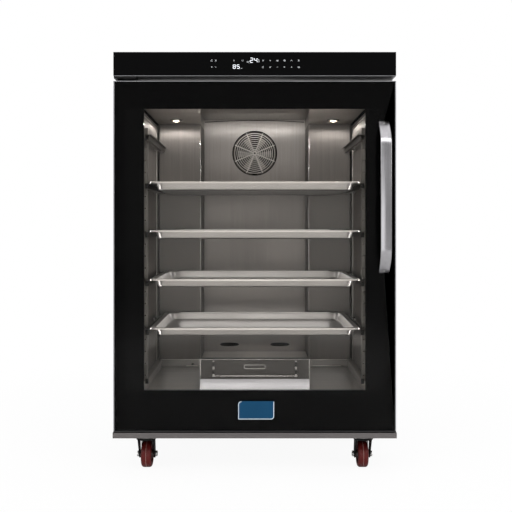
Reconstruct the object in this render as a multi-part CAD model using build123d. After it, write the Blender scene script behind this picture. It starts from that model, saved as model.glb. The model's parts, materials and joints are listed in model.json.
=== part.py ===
from build123d import *
import math
import os

os.makedirs("parts", exist_ok=True)

# Glass-door proofing cabinet on four swivel casters. Millimetres, +Z up.
# The front faces -Y, +X is on the right seen from the front, and the origin
# lies on the floor under the middle of the cabinet.

# Trays, which the whole cabinet is sized for
tray_count = 4
level_count = 5
level_pitch = 139.0
tray_width = 600.0
tray_length = 400.0
tray_depth = 25.0
tray_flange = 14.5
tray_sheet = 1.2
tray_slope = 9.0
tray_corner = 22.0
tray_foot_corner = 16.0
rim_height = 5.0

# Heights, from the floor up
caster_height = 103.0
base_height = 15.0
floor_rise = 92.5
humidifier_height = 90.5
lowest_rim_rise = 96.0
top_level_drop = 78.5
ceiling_drop = 68.5
top_box_height = 66.0

# Widths, from a tray outwards
tray_side_gap = 30.0
wall_thickness = 58.0
door_lap = 1.0
base_lap = 3.0

# Depths, from the handle back to the louvres
handle_standoff = 40.0
door_thickness = 45.0
seal_gap = 6.0
tray_setback = 20.0
tray_rear_gap = 14.0
alcove_depth = 175.0
fan_space = 36.0
rear_wool = 38.5
rear_sheet = 1.5
louvre_rise = 2.5

# Sheet metal and running clearances
sheet = 1.5
seat_gap = 0.3
shaft_gap = 0.05

# Door
door_gap_bottom = 3.5
door_gap_top = 13.5
outer_glass = 5.0
inner_glass = 5.0
inner_glass_lap = 17.0
border_sheet = 0.8
edge_lip_side = 2.5
edge_lip_end = 1.5
window_side = 84.0
window_drop = 76.5
window_rise = 112.5
frame_reveal = 5.0
gasket_width = 18.0
gasket_inset = 4.0

# Hinge
hinge_inset = 13.0
hinge_setback = 22.0
hinge_pin_radius = 5.0
hinge_pin_length = 24.0
bush_radius = 8.0
bush_length = 26.0
bush_bore_depth = 25.0
bracket_length = 60.0
bracket_sheet = 2.5
bracket_setback = 2.0
top_bracket_sheet = 6.0

# Handle and plain badge plate
handle_inset = 33.5
handle_width = 30.0
handle_sheet = 4.0
handle_low = 435.5
handle_length = 419.0
handle_slant = 48.0
handle_end = 16.0
handle_screw_bite = 6.0
handle_screw_head_radius = 6.0
handle_screw_head = 3.0
handle_screw_radius = 2.5
badge_width = 99.0
badge_height = 50.0
badge_sheet = 1.5
badge_rise = 34.0
badge_corner = 9.0
badge_offset = 4.0

# Chamber
ledge_rise = 24.5
pan_inset = 15.0
alcove_width = 364.0
panel_side_gap = 8.0
alcove_slot_x = 91.0
alcove_slot_rise = 24.0
alcove_slot_width = 68.0
alcove_slot_height = 11.5
front_frame_sheet = 8.0
duct_rise = 38.0
duct_front_gap = 41.0
duct_front_width = 312.0

# Racks
upright_width = 20.0
upright_depth = 18.0
upright_inset = 66.0
upright_above = 20.0
upright_hole_radius = 3.0
upright_hole_x = 11.0
holes_per_level = 4
runner_tube_height = 15.0
runner_tube_width = 10.0
runner_ledge = 18.0
stud_height = 9.0
stud_drop = 5.0
runner_overhang = 4.0

# Humidifier on the chamber floor
humidifier_width = 317.0
humidifier_setback = 57.0
humidifier_flat = 30.0
humidifier_back_gap = 5.0
drawer_width = 250.0
drawer_lap = 3.5
drawer_head_gap = 0.5
drawer_mouth_lap = 1.5
drawer_top_gap = 4.0
drawer_front_height = 46.0
drawer_front_sheet = 1.7
drawer_depth = 180.0
drawer_side_gap = 4.0
drawer_slot_width = 60.0
drawer_slot_height = 10.0
drawer_slot_drop = 18.5
rail_width = 46.0
drawer_rise = 1.0
steam_slot_rows = 6
steam_slot_pitch = 36.0
steam_slot_setback = 100.0
steam_slot_length = 180.0
steam_slot_width = 8.0
pan_height = 32.0
pan_margin = 7.0
coil_radius = 4.0
coil_bend = 60.0
coil_setback = 110.0

# Fan, grille and air heater
grille_drop = 1.5
grille_radius = 81.0
grille_sheet = 2.0
grille_pitch = 7.2
grille_slot = 5.2
grille_rows = 10
grille_hub = 8.0
grille_spokes = 8
grille_spoke_width = 2.6
fan_hole_radius = 78.5
impeller_radius = 62.0
impeller_depth = 22.0
impeller_gap = 4.0
impeller_blades = 6
impeller_disc = 2.0
impeller_hub_radius = 14.0
blade_root = 31.0
blade_tip = 61.0
blade_sheet = 1.5
blade_angle = 10.0
petal_root = 20.0
petal_root_width = 9.0
petal_tip_width = 20.0
shaft_radius = 4.0
shaft_length = 24.0
motor_radius = 34.0
motor_gap = 1.5
heater_ring_radius = 76.0
heater_tube_radius = 4.0
heater_sleeve_radius = 5.0
heater_end_spread = 14.0
heater_tail = 14.0
wool_gap = 2.0

# Ceiling lamps
lamp_beside_alcove = 73.0
lamp_setback = 329.0
lamp_radius = 20.0
lamp_lens_radius = 15.0
lamp_depth = 22.0
lamp_bezel_drop = 4.0
lamp_lens_recess = 1.0

# Controls in the top box
control_glass = 4.0
control_trim = 1.0
board_width = 260.0
board_height = 48.0
board_sheet = 1.6
board_gap = 5.0
board_post_radius = 3.0
board_post_inset = 7.0
board_block_size = 24.0
board_block_height = 28.0
board_block_depth = 16.4
board_block_x = (-100.0, -62.0, 70.0, 104.0)
power_box_width = 150.0
power_box_depth = 110.0
power_box_height = 46.0
power_box_side_gap = 30.0
power_box_rear_gap = 90.0
top_box_vents = 9
vent_pitch = 26.0
vent_width = 4.0
vent_length = 34.0
vent_inset = 80.0

# Rear panel
louvre_count = 8
louvre_pitch = 16.0
louvre_width = 180.0
louvre_height = 9.0
louvre_low = 620.0
louvre_end = 2.0
louvre_slot_height = 3.5
louvre_slot_gap = 0.5
rear_screw_radius = 4.0
rear_screw_head = 2.0
rear_screw_rows = 4
rear_screw_inset = 12.0
gland_radius = 11.0
gland_throat_radius = 7.7
gland_bore = 5.0
gland_length = 2.4
gland_rise = 70.0
gland_inset = 90.0

# Casters
caster_side_inset = 84.5
caster_front_inset = 60.0
caster_rear_inset = 78.0
caster_trail = 22.0
plate_width = 70.0
plate_length = 84.0
plate_sheet = 3.0
race_radius = 25.0
race_height = 8.0
king_radius = 5.0
king_head_radius = 9.0
king_head = 5.0
crown_radius = 28.0
crown_sheet = 5.0
fork_gap = 40.0
fork_sheet = 2.5
fork_eye = 12.0
fork_front = 20.0
fork_back = 22.0
fork_chamfer_y = 8.0
fork_chamfer_z = 3.0
wheel_radius = 37.5
wheel_width = 31.5
tyre_depth = 10.0
tyre_round = 5.0
hub_radius = 12.0
hub_inset = 3.0
axle_radius = 4.0
axle_head_radius = 7.0
axle_head = 6.0
bolt_radius = 3.0
bolt_head_radius = 5.5
bolt_head = 3.5
bolt_inset = 9.0
bolt_depth = 10.0

# Sizes and places that follow
chamber_width = tray_width + 2 * tray_side_gap
body_width = chamber_width + 2 * wall_thickness
door_width = body_width + 2 * door_lap
base_width = body_width + 2 * base_lap
chamber_depth = tray_setback + tray_length + tray_rear_gap
body_depth = chamber_depth + alcove_depth + fan_space + sheet + rear_wool
levels_height = (level_count - 1) * level_pitch
body_height = floor_rise + humidifier_height + lowest_rim_rise + levels_height + top_level_drop + ceiling_drop
total_depth = handle_standoff + door_thickness + seal_gap + body_depth + rear_sheet + louvre_rise
handle_front_y = -total_depth / 2
door_front_y = handle_front_y + handle_standoff
door_back_y = door_front_y + door_thickness
body_front_y = door_back_y + seal_gap
body_back_y = body_front_y + body_depth
body_bottom = caster_height + base_height
body_top = body_bottom + body_height
box_top = body_top + top_box_height
half_body = body_width / 2
half_door = door_width / 2
door_bottom = body_bottom + door_gap_bottom
door_top = body_top - door_gap_top
window_bottom = door_bottom + window_rise
window_top = door_top - window_drop
half_window = half_door - window_side
half_chamber = chamber_width / 2
floor_z = body_bottom + floor_rise
ledge_z = floor_z + ledge_rise
ceiling_z = body_top - ceiling_drop
liner_front_y = body_front_y + front_frame_sheet
panel_y = body_front_y + chamber_depth
alcove_y = panel_y + alcove_depth
liner_back_y = alcove_y + fan_space
half_alcove = alcove_width / 2
duct_top = ceiling_z + duct_rise
duct_front_y = liner_front_y + duct_front_gap
lamp_offset_x = half_alcove + lamp_beside_alcove
fan_height = ceiling_z - grille_drop - grille_radius
handle_center_x = half_door - handle_inset
caster_x = base_width / 2 - caster_side_inset
half_pan = half_chamber - pan_inset
hinge_x = -half_door + hinge_inset
hinge_y = door_front_y + hinge_setback
tray_front_y = body_front_y + tray_setback
tray_back_y = tray_front_y + tray_length
humidifier_front_y = body_front_y + humidifier_setback
humidifier_back_y = panel_y - humidifier_back_gap
humidifier_top = floor_z + humidifier_height
half_humidifier = humidifier_width / 2
drawer_top = humidifier_top - sheet - drawer_head_gap
drawer_bottom = drawer_top - drawer_front_height
lamp_y = body_front_y + lamp_setback
gland_x = half_body - gland_inset
gland_z = body_bottom + gland_rise
alcove_slot_z = ledge_z + alcove_slot_rise
rail_top = drawer_bottom + drawer_rise
heater_drop = math.sqrt(heater_ring_radius ** 2 - heater_end_spread ** 2)


def block(x0, x1, y0, y1, z0, z1):
    """Box between two corners."""
    centre = Pos((x0 + x1) / 2, (y0 + y1) / 2, (z0 + z1) / 2)
    return centre * Box(abs(x1 - x0), abs(y1 - y0), abs(z1 - z0))


def rod(x, y, z, radius, length, direction):
    """Cylinder that starts at a point and runs along one row axis."""
    sign = 1 if direction[0] == "+" else -1
    axis = tuple(sign * (name == direction[1]) for name in "XYZ")
    start = Plane(origin=(x, y, z), z_dir=axis)
    return start * Cylinder(radius, length, align=(Align.CENTER, Align.CENTER, Align.MIN))


def profile_x(points, x0, x1):
    """Prism of a closed outline in the YZ plane, from x0 to x1."""
    face = make_face(Polyline(*[(x0, y, z) for y, z in points], close=True))
    return extrude(face, amount=x1 - x0, dir=(1, 0, 0))


def mirrored(shape):
    """The same shape on the other side of the cabinet."""
    return mirror(shape, about=Plane.YZ)


def both_sides(shape):
    """A shape and its mirror image, as separate solids."""
    return [shape, mirrored(shape)]


def save(name, shapes):
    """One STEP file for a node, which may hold several separate solids."""
    solids = []
    for shape in shapes if isinstance(shapes, list) else [shapes]:
        solids.extend(shape.solids())
    node = solids[0] if len(solids) == 1 else Compound(solids)
    export_step(node, f"parts/{name}.step")


# ---------------------------------------------------------------- outer shell

def base_frame():
    """Shallow pan turned upside down: top sheet with a skirt, flush with the door's front."""
    half = base_width / 2
    outer = block(-half, half, door_front_y, body_back_y, caster_height, body_bottom)
    inner = block(-half + sheet, half - sheet, door_front_y + sheet, body_back_y - sheet,
                  caster_height, body_bottom - sheet)
    pads = []
    for x, y in caster_places():
        pads.append(block(x - plate_width / 2, x + plate_width / 2, y - plate_length / 2,
                          y + plate_length / 2, caster_height, body_bottom - sheet))
    return outer - inner + pads - bolt_holes(caster_height, bolt_depth)


def side_panel():
    """Left outer skin between the front frame and the rear panel."""
    return block(-half_body, -half_body + sheet, liner_front_y, body_back_y, body_bottom, body_top)


def front_frame():
    """Two stiles and two rails round the chamber's mouth, on which the gasket closes."""
    stile = block(-half_body, -half_chamber, body_front_y, liner_front_y, body_bottom, body_top)
    foot = block(-half_chamber, -half_pan, body_front_y, liner_front_y, body_bottom, ledge_z)
    stile = stile + foot
    top_rail = block(-half_chamber, half_chamber, body_front_y, liner_front_y, ceiling_z, body_top)
    bottom_rail = block(-half_pan, half_pan, body_front_y, liner_front_y, body_bottom, floor_z - sheet)
    return both_sides(stile) + [top_rail, bottom_rail]


def top_cover():
    """Lid of the top box, with a row of vent slots in each side."""
    outer = block(-half_body, half_body, body_front_y, body_back_y, body_top, box_top)
    inner = block(-half_body + sheet, half_body - sheet, body_front_y, body_back_y - sheet, body_top,
                  box_top - sheet)
    slots = []
    first = body_back_y - vent_inset
    for index in range(top_box_vents):
        y = first - index * vent_pitch
        z = body_top + (top_box_height - vent_length) / 2
        slots.append(block(-half_body, half_body, y, y + vent_width, z, z + vent_length))
    return outer - inner - slots


def rear_cover():
    """Flat rear panel with pressed louvres and a hole for the cable gland."""
    panel = block(-half_body, half_body, body_back_y, body_back_y + rear_sheet, body_bottom, box_top)
    outer_y = body_back_y + rear_sheet
    for index in range(louvre_count):
        z = louvre_low + index * louvre_pitch
        hood = profile_x([(outer_y, z), (outer_y + louvre_rise, z), (outer_y, z + louvre_height)],
                         -louvre_width / 2, louvre_width / 2)
        half_slot = louvre_width / 2 - louvre_end
        slot_top = z - louvre_slot_gap
        slot = block(-half_slot, half_slot, body_back_y, outer_y, slot_top - louvre_slot_height, slot_top)
        panel = panel + hood - slot
    hole = rod(gland_x, body_back_y, gland_z, gland_throat_radius, rear_sheet, "+Y")
    return panel - hole - screw_shanks()


def screw_places():
    """Centres of the rear panel's screws, two columns."""
    x = half_body - rear_screw_inset
    low = body_bottom + 2 * rear_screw_inset
    step = (box_top - rear_screw_inset - low) / (rear_screw_rows - 1)
    return [(side * x, low + row * step) for side in (-1, 1) for row in range(rear_screw_rows)]


def screw_shanks():
    """Shanks of the rear panel's screws, which are also the holes for them."""
    return [rod(x, body_back_y, z, rear_screw_radius / 2, rear_sheet, "+Y") for x, z in screw_places()]


def rear_cover_screws():
    """Pan-head screws with their shanks in the rear panel."""
    screws = []
    for (x, z), shank in zip(screw_places(), screw_shanks()):
        head = rod(x, body_back_y + rear_sheet, z, rear_screw_radius, rear_screw_head, "+Y")
        screws.append(head + shank)
    return screws


def cable_gland():
    """Round gland where the mains lead enters, with a through bore."""
    flange = rod(gland_x, body_back_y + rear_sheet, gland_z, gland_radius, gland_length, "+Y")
    throat = rod(gland_x, body_back_y, gland_z, gland_throat_radius, rear_sheet, "+Y")
    bore = rod(gland_x, body_back_y, gland_z, gland_bore, rear_sheet + gland_length, "+Y")
    return flange + throat - bore


# ------------------------------------------------------------------- chamber

def chamber_wall():
    """Left liner wall, from the front frame to the rear liner."""
    return block(-half_chamber - sheet, -half_chamber, liner_front_y, liner_back_y, ledge_z, ceiling_z)


def duct_channel(wall, z0, z1):
    """Solid of the channel in the ceiling: as wide as the alcove at the back, narrower in front."""
    front = duct_front_width / 2 + wall
    back = half_alcove + wall
    end_y = alcove_y + sheet
    corners = [(-front, duct_front_y - wall), (front, duct_front_y - wall), (back, panel_y), (back, end_y),
               (-back, end_y), (-back, panel_y)]
    outline = make_face(Polyline(*[(x, y, z0) for x, y in corners], close=True))
    return extrude(outline, amount=z1 - z0, dir=(0, 0, 1))


def chamber_ceiling():
    """Liner ceiling with a hole for each lamp and a raised air channel towards the fan."""
    top = block(-half_chamber - sheet, half_chamber + sheet, liner_front_y, liner_back_y, ceiling_z,
                ceiling_z + sheet)
    for x in (-lamp_offset_x, lamp_offset_x):
        top = top - rod(x, lamp_y, ceiling_z, lamp_lens_radius, sheet, "+Z")
    hood = duct_channel(sheet, ceiling_z, duct_top + sheet)
    return top + hood - duct_channel(0, ceiling_z, duct_top)


def chamber_floor():
    """Dished floor, open to the front, with a flange that carries the walls and the alcove."""
    flange = block(-half_chamber - sheet, half_chamber + sheet, liner_front_y, liner_back_y, ledge_z - sheet,
                   ledge_z)
    well = block(-half_pan, half_pan, liner_front_y, panel_y, ledge_z - sheet, ledge_z)
    sheet_z = floor_z - sheet
    bottom = block(-half_pan - sheet, half_pan + sheet, body_front_y, panel_y + sheet, sheet_z, floor_z)
    bottom = bottom - block(-half_pan - sheet, -half_pan, body_front_y, liner_front_y, sheet_z, floor_z)
    bottom = bottom - block(half_pan, half_pan + sheet, body_front_y, liner_front_y, sheet_z, floor_z)
    side = block(-half_pan - sheet, -half_pan, liner_front_y, panel_y + sheet, floor_z, ledge_z - sheet)
    back = block(-half_pan, half_pan, panel_y, panel_y + sheet, floor_z, ledge_z - sheet)
    return flange - well + bottom + both_sides(side) + back


def back_panels():
    """Two baffles, one on each side of the alcove, with an air slot along the side wall."""
    outer = -half_chamber + panel_side_gap
    return both_sides(block(outer, -half_alcove, panel_y, panel_y + sheet, ledge_z, ceiling_z))


def alcove_side():
    """Left cheek of the alcove."""
    return block(-half_alcove - sheet, -half_alcove, panel_y + sheet, liner_back_y, ledge_z, ceiling_z)


def alcove_back():
    """Alcove's back sheet, with the fan's inlet hole and two louvre slots low down."""
    panel = block(-half_alcove, half_alcove, alcove_y, alcove_y + sheet, ledge_z, duct_top)
    hole = rod(0, alcove_y, fan_height, fan_hole_radius, sheet, "+Y")
    return panel - hole - both_sides(lens_slot())


def lens_slot():
    """Left slot in the alcove's back sheet, pointed at both ends where two arcs meet."""
    rise = alcove_slot_height / 2
    radius = ((alcove_slot_width / 2) ** 2 + rise ** 2) / (2 * rise)
    arcs = [rod(-alcove_slot_x, alcove_y, alcove_slot_z + side * (radius - rise), radius, sheet, "+Y")
            for side in (-1, 1)]
    return arcs[0] & arcs[1]


def chamber_rear_wall():
    """Rear liner behind the alcove, with holes for the motor shaft and the heater's ends."""
    wall = block(-half_chamber - sheet, half_chamber + sheet, liner_back_y, liner_back_y + sheet,
                 ledge_z - sheet, ceiling_z + sheet)
    holes = [rod(0, liner_back_y, fan_height, shaft_radius + motor_gap, sheet, "+Y")]
    for side in (-1, 1):
        holes.append(rod(side * heater_end_spread, liner_back_y, fan_height - heater_drop,
                         heater_sleeve_radius, sheet, "+Y"))
    return wall - holes


def wall_insulation():
    """Mineral wool between the liner and the outer skin: sides, top, bottom and back."""
    skin = half_body - sheet
    side = block(-skin, -half_chamber - sheet, liner_front_y, liner_back_y + sheet, body_bottom, body_top)
    top = block(-half_chamber - sheet, half_chamber + sheet, liner_front_y, liner_back_y + sheet,
                ceiling_z + sheet, body_top)
    for x in (-lamp_offset_x, lamp_offset_x):
        top = top - rod(x, lamp_y, ceiling_z, lamp_radius, lamp_depth + wool_gap, "+Z")
    half_duct = half_alcove + sheet + wool_gap
    top = top - block(-half_duct, half_duct, duct_front_y - sheet - wool_gap, alcove_y + sheet + wool_gap,
                      ceiling_z + sheet, duct_top + sheet + wool_gap)
    bottom = block(-half_chamber - sheet, half_chamber + sheet, liner_front_y, liner_back_y + sheet,
                   body_bottom, floor_z - sheet)
    back = block(-skin, skin, liner_back_y + sheet, body_back_y, body_bottom, body_top)
    back = back - rod(0, liner_back_y, fan_height, motor_radius + motor_gap, body_back_y - liner_back_y, "+Y")
    for side_sign in (-1, 1):
        back = back - rod(side_sign * heater_end_spread, liner_back_y, fan_height - heater_drop,
                          heater_sleeve_radius + wool_gap, heater_tail + wool_gap, "+Y")
    return both_sides(side) + [top, bottom, back]


# ------------------------------------------------------- trays and their racks

def level_z(index):
    """Height of a tray's rim; level 0 is the top one."""
    return ceiling_z - top_level_drop - index * level_pitch


def rack_uprights():
    """Each rack's front upright, with holes that face the door, and its studs on the wall behind."""
    top = level_z(0) + upright_above
    x0 = -half_chamber
    pitch = level_pitch / holes_per_level
    y = tray_front_y + upright_inset
    post = block(x0, x0 + upright_depth, y - upright_width / 2, y + upright_width / 2, ledge_z, top)
    for index in range(int((top - ledge_z) / pitch)):
        post = post - rod(x0 + upright_hole_x, y - upright_width / 2, ledge_z + (index + 0.5) * pitch,
                          upright_hole_radius, upright_width, "+Y")
    supports = both_sides(post)
    y = tray_back_y - upright_inset
    for index in range(level_count):
        high = level_z(index) - rim_height - stud_drop
        stud = block(x0, x0 + upright_depth, y - upright_width / 2, y + upright_width / 2,
                     high - stud_height, high)
        supports.extend(both_sides(stud))
    return supports


def rack_runners():
    """Runners of the left rack, one for each level: a flat tube with a ledge from its top."""
    x0 = -half_chamber + upright_depth
    x1 = x0 + runner_tube_width
    front = tray_front_y + runner_overhang
    back = tray_back_y - runner_overhang
    runners = []
    for index in range(level_count):
        top = level_z(index) - rim_height - seat_gap
        low = top - runner_tube_height
        tube = block(x0, x1, front, back, low, top)
        hollow = block(x0 + sheet, x1 - sheet, front, back, low + sheet, top - sheet)
        ledge = block(x0, x0 + runner_ledge, front, back, top - sheet, top)
        runners.append(tube - hollow + ledge)
    return runners


def tray(index):
    """Pan with sloping walls and a turned-down rim."""
    z = level_z(index)
    centre_y = (tray_front_y + tray_back_y) / 2
    mouth_w = tray_width - 2 * tray_flange
    mouth_l = tray_length - 2 * tray_flange
    outer = loft([
        Plane(origin=(0, centre_y, z)) * RectangleRounded(mouth_w, mouth_l, tray_corner),
        Plane(origin=(0, centre_y, z - tray_depth))
        * RectangleRounded(mouth_w - 2 * tray_slope, mouth_l - 2 * tray_slope, tray_foot_corner),
    ])
    inner = loft([
        Plane(origin=(0, centre_y, z)) * RectangleRounded(
            mouth_w - 2 * tray_sheet, mouth_l - 2 * tray_sheet, tray_corner - tray_sheet),
        Plane(origin=(0, centre_y, z - tray_depth + tray_sheet)) * RectangleRounded(
            mouth_w - 2 * tray_slope - 2 * tray_sheet, mouth_l - 2 * tray_slope - 2 * tray_sheet,
            tray_foot_corner - tray_sheet),
    ])
    rim_outline = Plane(origin=(0, centre_y, z)) * RectangleRounded(tray_width, tray_length, tray_corner)
    mouth = Plane(origin=(0, centre_y, z)) * RectangleRounded(
        mouth_w - 2 * tray_sheet, mouth_l - 2 * tray_sheet, tray_corner - tray_sheet)
    inner_rim = Plane(origin=(0, centre_y, z)) * RectangleRounded(
        tray_width - 2 * tray_sheet, tray_length - 2 * tray_sheet, tray_corner - tray_sheet)
    flange = extrude(rim_outline - mouth, amount=-tray_sheet)
    lip = extrude(rim_outline - inner_rim, amount=-rim_height)
    return outer - inner + flange + lip


# ---------------------------------------------------------------- humidifier

def humidifier_outline(inset):
    """Side outline of the housing: flat at the front, then sloping down to the back."""
    front = humidifier_front_y + inset
    back = humidifier_back_y - inset
    knee = humidifier_front_y + humidifier_flat
    low = floor_z if inset == 0 else floor_z - 1
    return [(front, low), (front, humidifier_top - inset), (knee, humidifier_top - inset),
            (back, ledge_z + sheet - inset), (back, low)]


def humidifier_housing():
    """Sheet box with a sloping lid, a front opening for the drawer and two rails inside."""
    outer = profile_x(humidifier_outline(0), -half_humidifier, half_humidifier)
    inner = profile_x(humidifier_outline(sheet), -half_humidifier + sheet, half_humidifier - sheet)
    half_mouth = drawer_width / 2 - drawer_lap
    mouth = block(-half_mouth, half_mouth, humidifier_front_y, humidifier_front_y + sheet,
                  rail_top - seat_gap, drawer_top - drawer_mouth_lap)
    vents = []
    for row in range(steam_slot_rows):
        y = humidifier_front_y + steam_slot_setback + row * steam_slot_pitch
        vents.append(block(-steam_slot_length / 2, steam_slot_length / 2, y, y + steam_slot_width,
                           ledge_z, humidifier_top))
    rails = []
    for side in (-1, 1):
        x_wall = side * (half_humidifier - sheet)
        rails.append(block(x_wall, x_wall - side * rail_width, humidifier_front_y + sheet,
                           humidifier_front_y + drawer_depth, rail_top - sheet, rail_top))
    return outer - inner - mouth - vents + rails


def evaporator_pan():
    """Open pan under the drawer, which holds the boiling water."""
    half = half_humidifier - sheet - pan_margin
    front = humidifier_front_y + sheet + pan_margin
    back = humidifier_back_y - sheet - pan_margin
    outer = block(-half, half, front, back, floor_z, floor_z + pan_height)
    pan = outer - block(-half + sheet, half - sheet, front + sheet, back - sheet, floor_z + sheet,
                        floor_z + pan_height)
    trimmer = profile_x(humidifier_outline(sheet + 1), -half, half)
    return pan & trimmer


def humidifier_heater():
    """Immersed U-shaped heater tube, its ends on the pan's back wall."""
    back = humidifier_back_y - 2 * sheet - pan_margin
    front = humidifier_front_y + coil_setback
    z = floor_z + sheet + coil_radius
    legs = [rod(side * coil_bend, front, z, coil_radius, back - front, "+Y") for side in (-1, 1)]
    ring = Pos(0, front, z) * Torus(coil_bend, coil_radius)
    reach = coil_bend + coil_radius
    bend = ring & block(-reach, reach, front - reach, front, z - coil_radius, z + coil_radius)
    return bend + legs


def water_drawer():
    """Shallow drawer for the water, with a front plate and a finger slot in it."""
    half = drawer_width / 2
    front_y = humidifier_front_y - seat_gap
    plate = block(-half, half, front_y - drawer_front_sheet, front_y, drawer_bottom, drawer_top)
    slot_z = drawer_top - drawer_slot_drop
    slot_plane = Plane(origin=(0, front_y, slot_z), x_dir=(1, 0, 0), z_dir=(0, -1, 0))
    slot = extrude(slot_plane * SlotOverall(drawer_slot_width, drawer_slot_height), amount=drawer_front_sheet)
    inside = half - drawer_lap - drawer_side_gap
    low = rail_top + seat_gap
    back = humidifier_front_y + drawer_depth
    top_front = drawer_top - drawer_mouth_lap - drawer_top_gap
    top_back = lid_height(back) - 3 * sheet
    outline = [(front_y, low), (front_y, top_front), (humidifier_front_y + humidifier_flat, top_front),
               (back, top_back), (back, low)]
    hollow = [(front_y + sheet, low + sheet), (front_y + sheet, top_front + 1),
              (back - sheet, top_front + 1), (back - sheet, low + sheet)]
    box = profile_x(outline, -inside, inside) - profile_x(hollow, -inside + sheet, inside - sheet)
    return plate + box - slot


def lid_height(y):
    """Height of the housing's lid above a place behind its knee."""
    knee = humidifier_front_y + humidifier_flat
    fall = (humidifier_top - ledge_z - sheet) / (humidifier_back_y - knee)
    return humidifier_top - max(0, y - knee) * fall


# ----------------------------------------------------------- fan and heater

def fan_grille():
    """Round guard with rows of concentric slots between spokes."""
    disc = Circle(grille_radius)
    slots = Sketch()
    for row in range(grille_rows):
        inner = grille_hub + row * grille_pitch
        slots += Circle(inner + grille_slot) - Circle(inner)
    for spoke in range(grille_spokes):
        turn = 360.0 / grille_spokes * (spoke + 0.5)
        slots -= Rot(0, 0, turn) * Pos(grille_radius / 2, 0) * Rectangle(grille_radius, grille_spoke_width)
    face = Plane(origin=(0, alcove_y, fan_height), x_dir=(1, 0, 0), z_dir=(0, -1, 0)) * (disc - slots)
    return extrude(face, amount=grille_sheet)


def fan_impeller():
    """Radial fan wheel: a star of petals with a blade on each, a hub and the shaft it turns with."""
    back = liner_back_y - impeller_gap
    front = back - impeller_depth
    wheel = rod(0, back, fan_height, impeller_radius, impeller_disc, "-Y")
    spread = 2 * math.sin(math.pi / impeller_blades)
    half_root = (petal_root * spread - petal_root_width) / 2
    half_tip = (impeller_radius * spread - petal_tip_width) / 2
    beyond = (half_tip - half_root) / (impeller_radius - petal_root)
    reach = impeller_radius + petal_root_width
    half_reach = half_tip + beyond * petal_root_width
    gap = Plane(origin=(0, back, 0), x_dir=(1, 0, 0), z_dir=(0, -1, 0)) * Polygon(
        (petal_root, -half_root), (reach, -half_reach), (reach, half_reach), (petal_root, half_root), align=None)
    gap = extrude(gap, amount=impeller_disc)
    for index in range(impeller_blades):
        turn = 360.0 / impeller_blades * (index + 0.5)
        wheel = wheel - Pos(0, 0, fan_height) * Rot(0, turn, 0) * gap
    wheel = wheel + rod(0, back, fan_height, impeller_hub_radius, impeller_depth, "-Y")
    for index in range(impeller_blades):
        turn = 360.0 / impeller_blades * index
        blade = block(blade_root, blade_tip, front, back - impeller_disc, -blade_sheet / 2, blade_sheet / 2)
        tilted = Pos(blade_root, 0, 0) * Rot(0, blade_angle, 0) * Pos(-blade_root, 0, 0) * blade
        wheel = wheel + Pos(0, 0, fan_height) * Rot(0, turn, 0) * tilted
    return wheel + rod(0, back, fan_height, shaft_radius, shaft_length, "+Y")


def fan_motor():
    """Motor can behind the liner, bored for the shaft, with a mounting flange."""
    can = rod(0, liner_back_y + sheet, fan_height, motor_radius, body_back_y - liner_back_y - sheet, "+Y")
    bore = rod(0, liner_back_y + sheet, fan_height, shaft_radius + shaft_gap, shaft_length, "+Y")
    return can - bore


def heating_element():
    """Open ring of heater tube round the impeller, with two sleeves through the rear liner."""
    y = liner_back_y - impeller_gap - impeller_depth / 2
    ring = Pos(0, y, fan_height) * Rot(90, 0, 0) * Torus(heater_ring_radius, heater_tube_radius)
    gap = block(-heater_end_spread, heater_end_spread, y - heater_tube_radius, y + heater_tube_radius,
                fan_height - heater_ring_radius - 2 * heater_tube_radius,
                fan_height - heater_drop + 2 * heater_tube_radius)
    ring = ring - gap
    front = y - heater_sleeve_radius
    for side in (-1, 1):
        ring = ring + rod(side * heater_end_spread, front, fan_height - heater_drop, heater_sleeve_radius,
                          liner_back_y + heater_tail - front, "+Y")
    return ring


def lamp_bezels():
    """Rings that hold the two ceiling lamps."""
    rings = []
    for x in (-lamp_offset_x, lamp_offset_x):
        ring = rod(x, lamp_y, ceiling_z, lamp_radius, lamp_bezel_drop, "-Z")
        rings.append(ring - rod(x, lamp_y, ceiling_z, lamp_lens_radius, lamp_bezel_drop, "-Z"))
    return rings


def lamp_lenses():
    """Lamp bodies with their lenses, up through the ceiling."""
    depth = lamp_depth + lamp_bezel_drop - lamp_lens_recess
    return [rod(x, lamp_y, ceiling_z - lamp_bezel_drop + lamp_lens_recess, lamp_lens_radius, depth, "+Z")
            for x in (-lamp_offset_x, lamp_offset_x)]


# ------------------------------------------------------------------ controls

def control_glass_panel():
    """Glass front of the touch controls."""
    return block(-half_door, half_door, door_front_y, door_front_y + control_glass,
                 body_top + control_trim, box_top)


def control_housing():
    """Folded fascia behind the glass, whose lower lip shows under it."""
    front = door_front_y + control_glass
    shell = block(-half_door, half_door, front, body_front_y, body_top, box_top)
    hollow = block(-half_door + sheet, half_door - sheet, front + sheet, body_front_y, body_top + sheet,
                   box_top - sheet)
    lip = block(-half_door, half_door, door_front_y, front, body_top, body_top + control_trim)
    return shell - hollow + lip


def control_board():
    """Circuit board behind the glass, with its relays and display."""
    y = door_front_y + control_glass + sheet
    z = (body_top + box_top) / 2
    board = block(-board_width / 2, board_width / 2, y + board_gap, y + board_gap + board_sheet,
                  z - board_height / 2, z + board_height / 2)
    block_y = y + board_gap + board_sheet
    half_block = board_block_size / 2
    for x in board_block_x:
        board = board + block(x - half_block, x + half_block, block_y, block_y + board_block_depth,
                              z - board_block_height / 2, z + board_block_height / 2)
    post_x = board_width / 2 - board_post_inset
    post_z = board_height / 2 - board_post_inset
    for x in (-post_x, post_x):
        for dz in (-post_z, post_z):
            board = board + rod(x, y, z + dz, board_post_radius, board_gap, "+Y")
    return board


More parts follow.
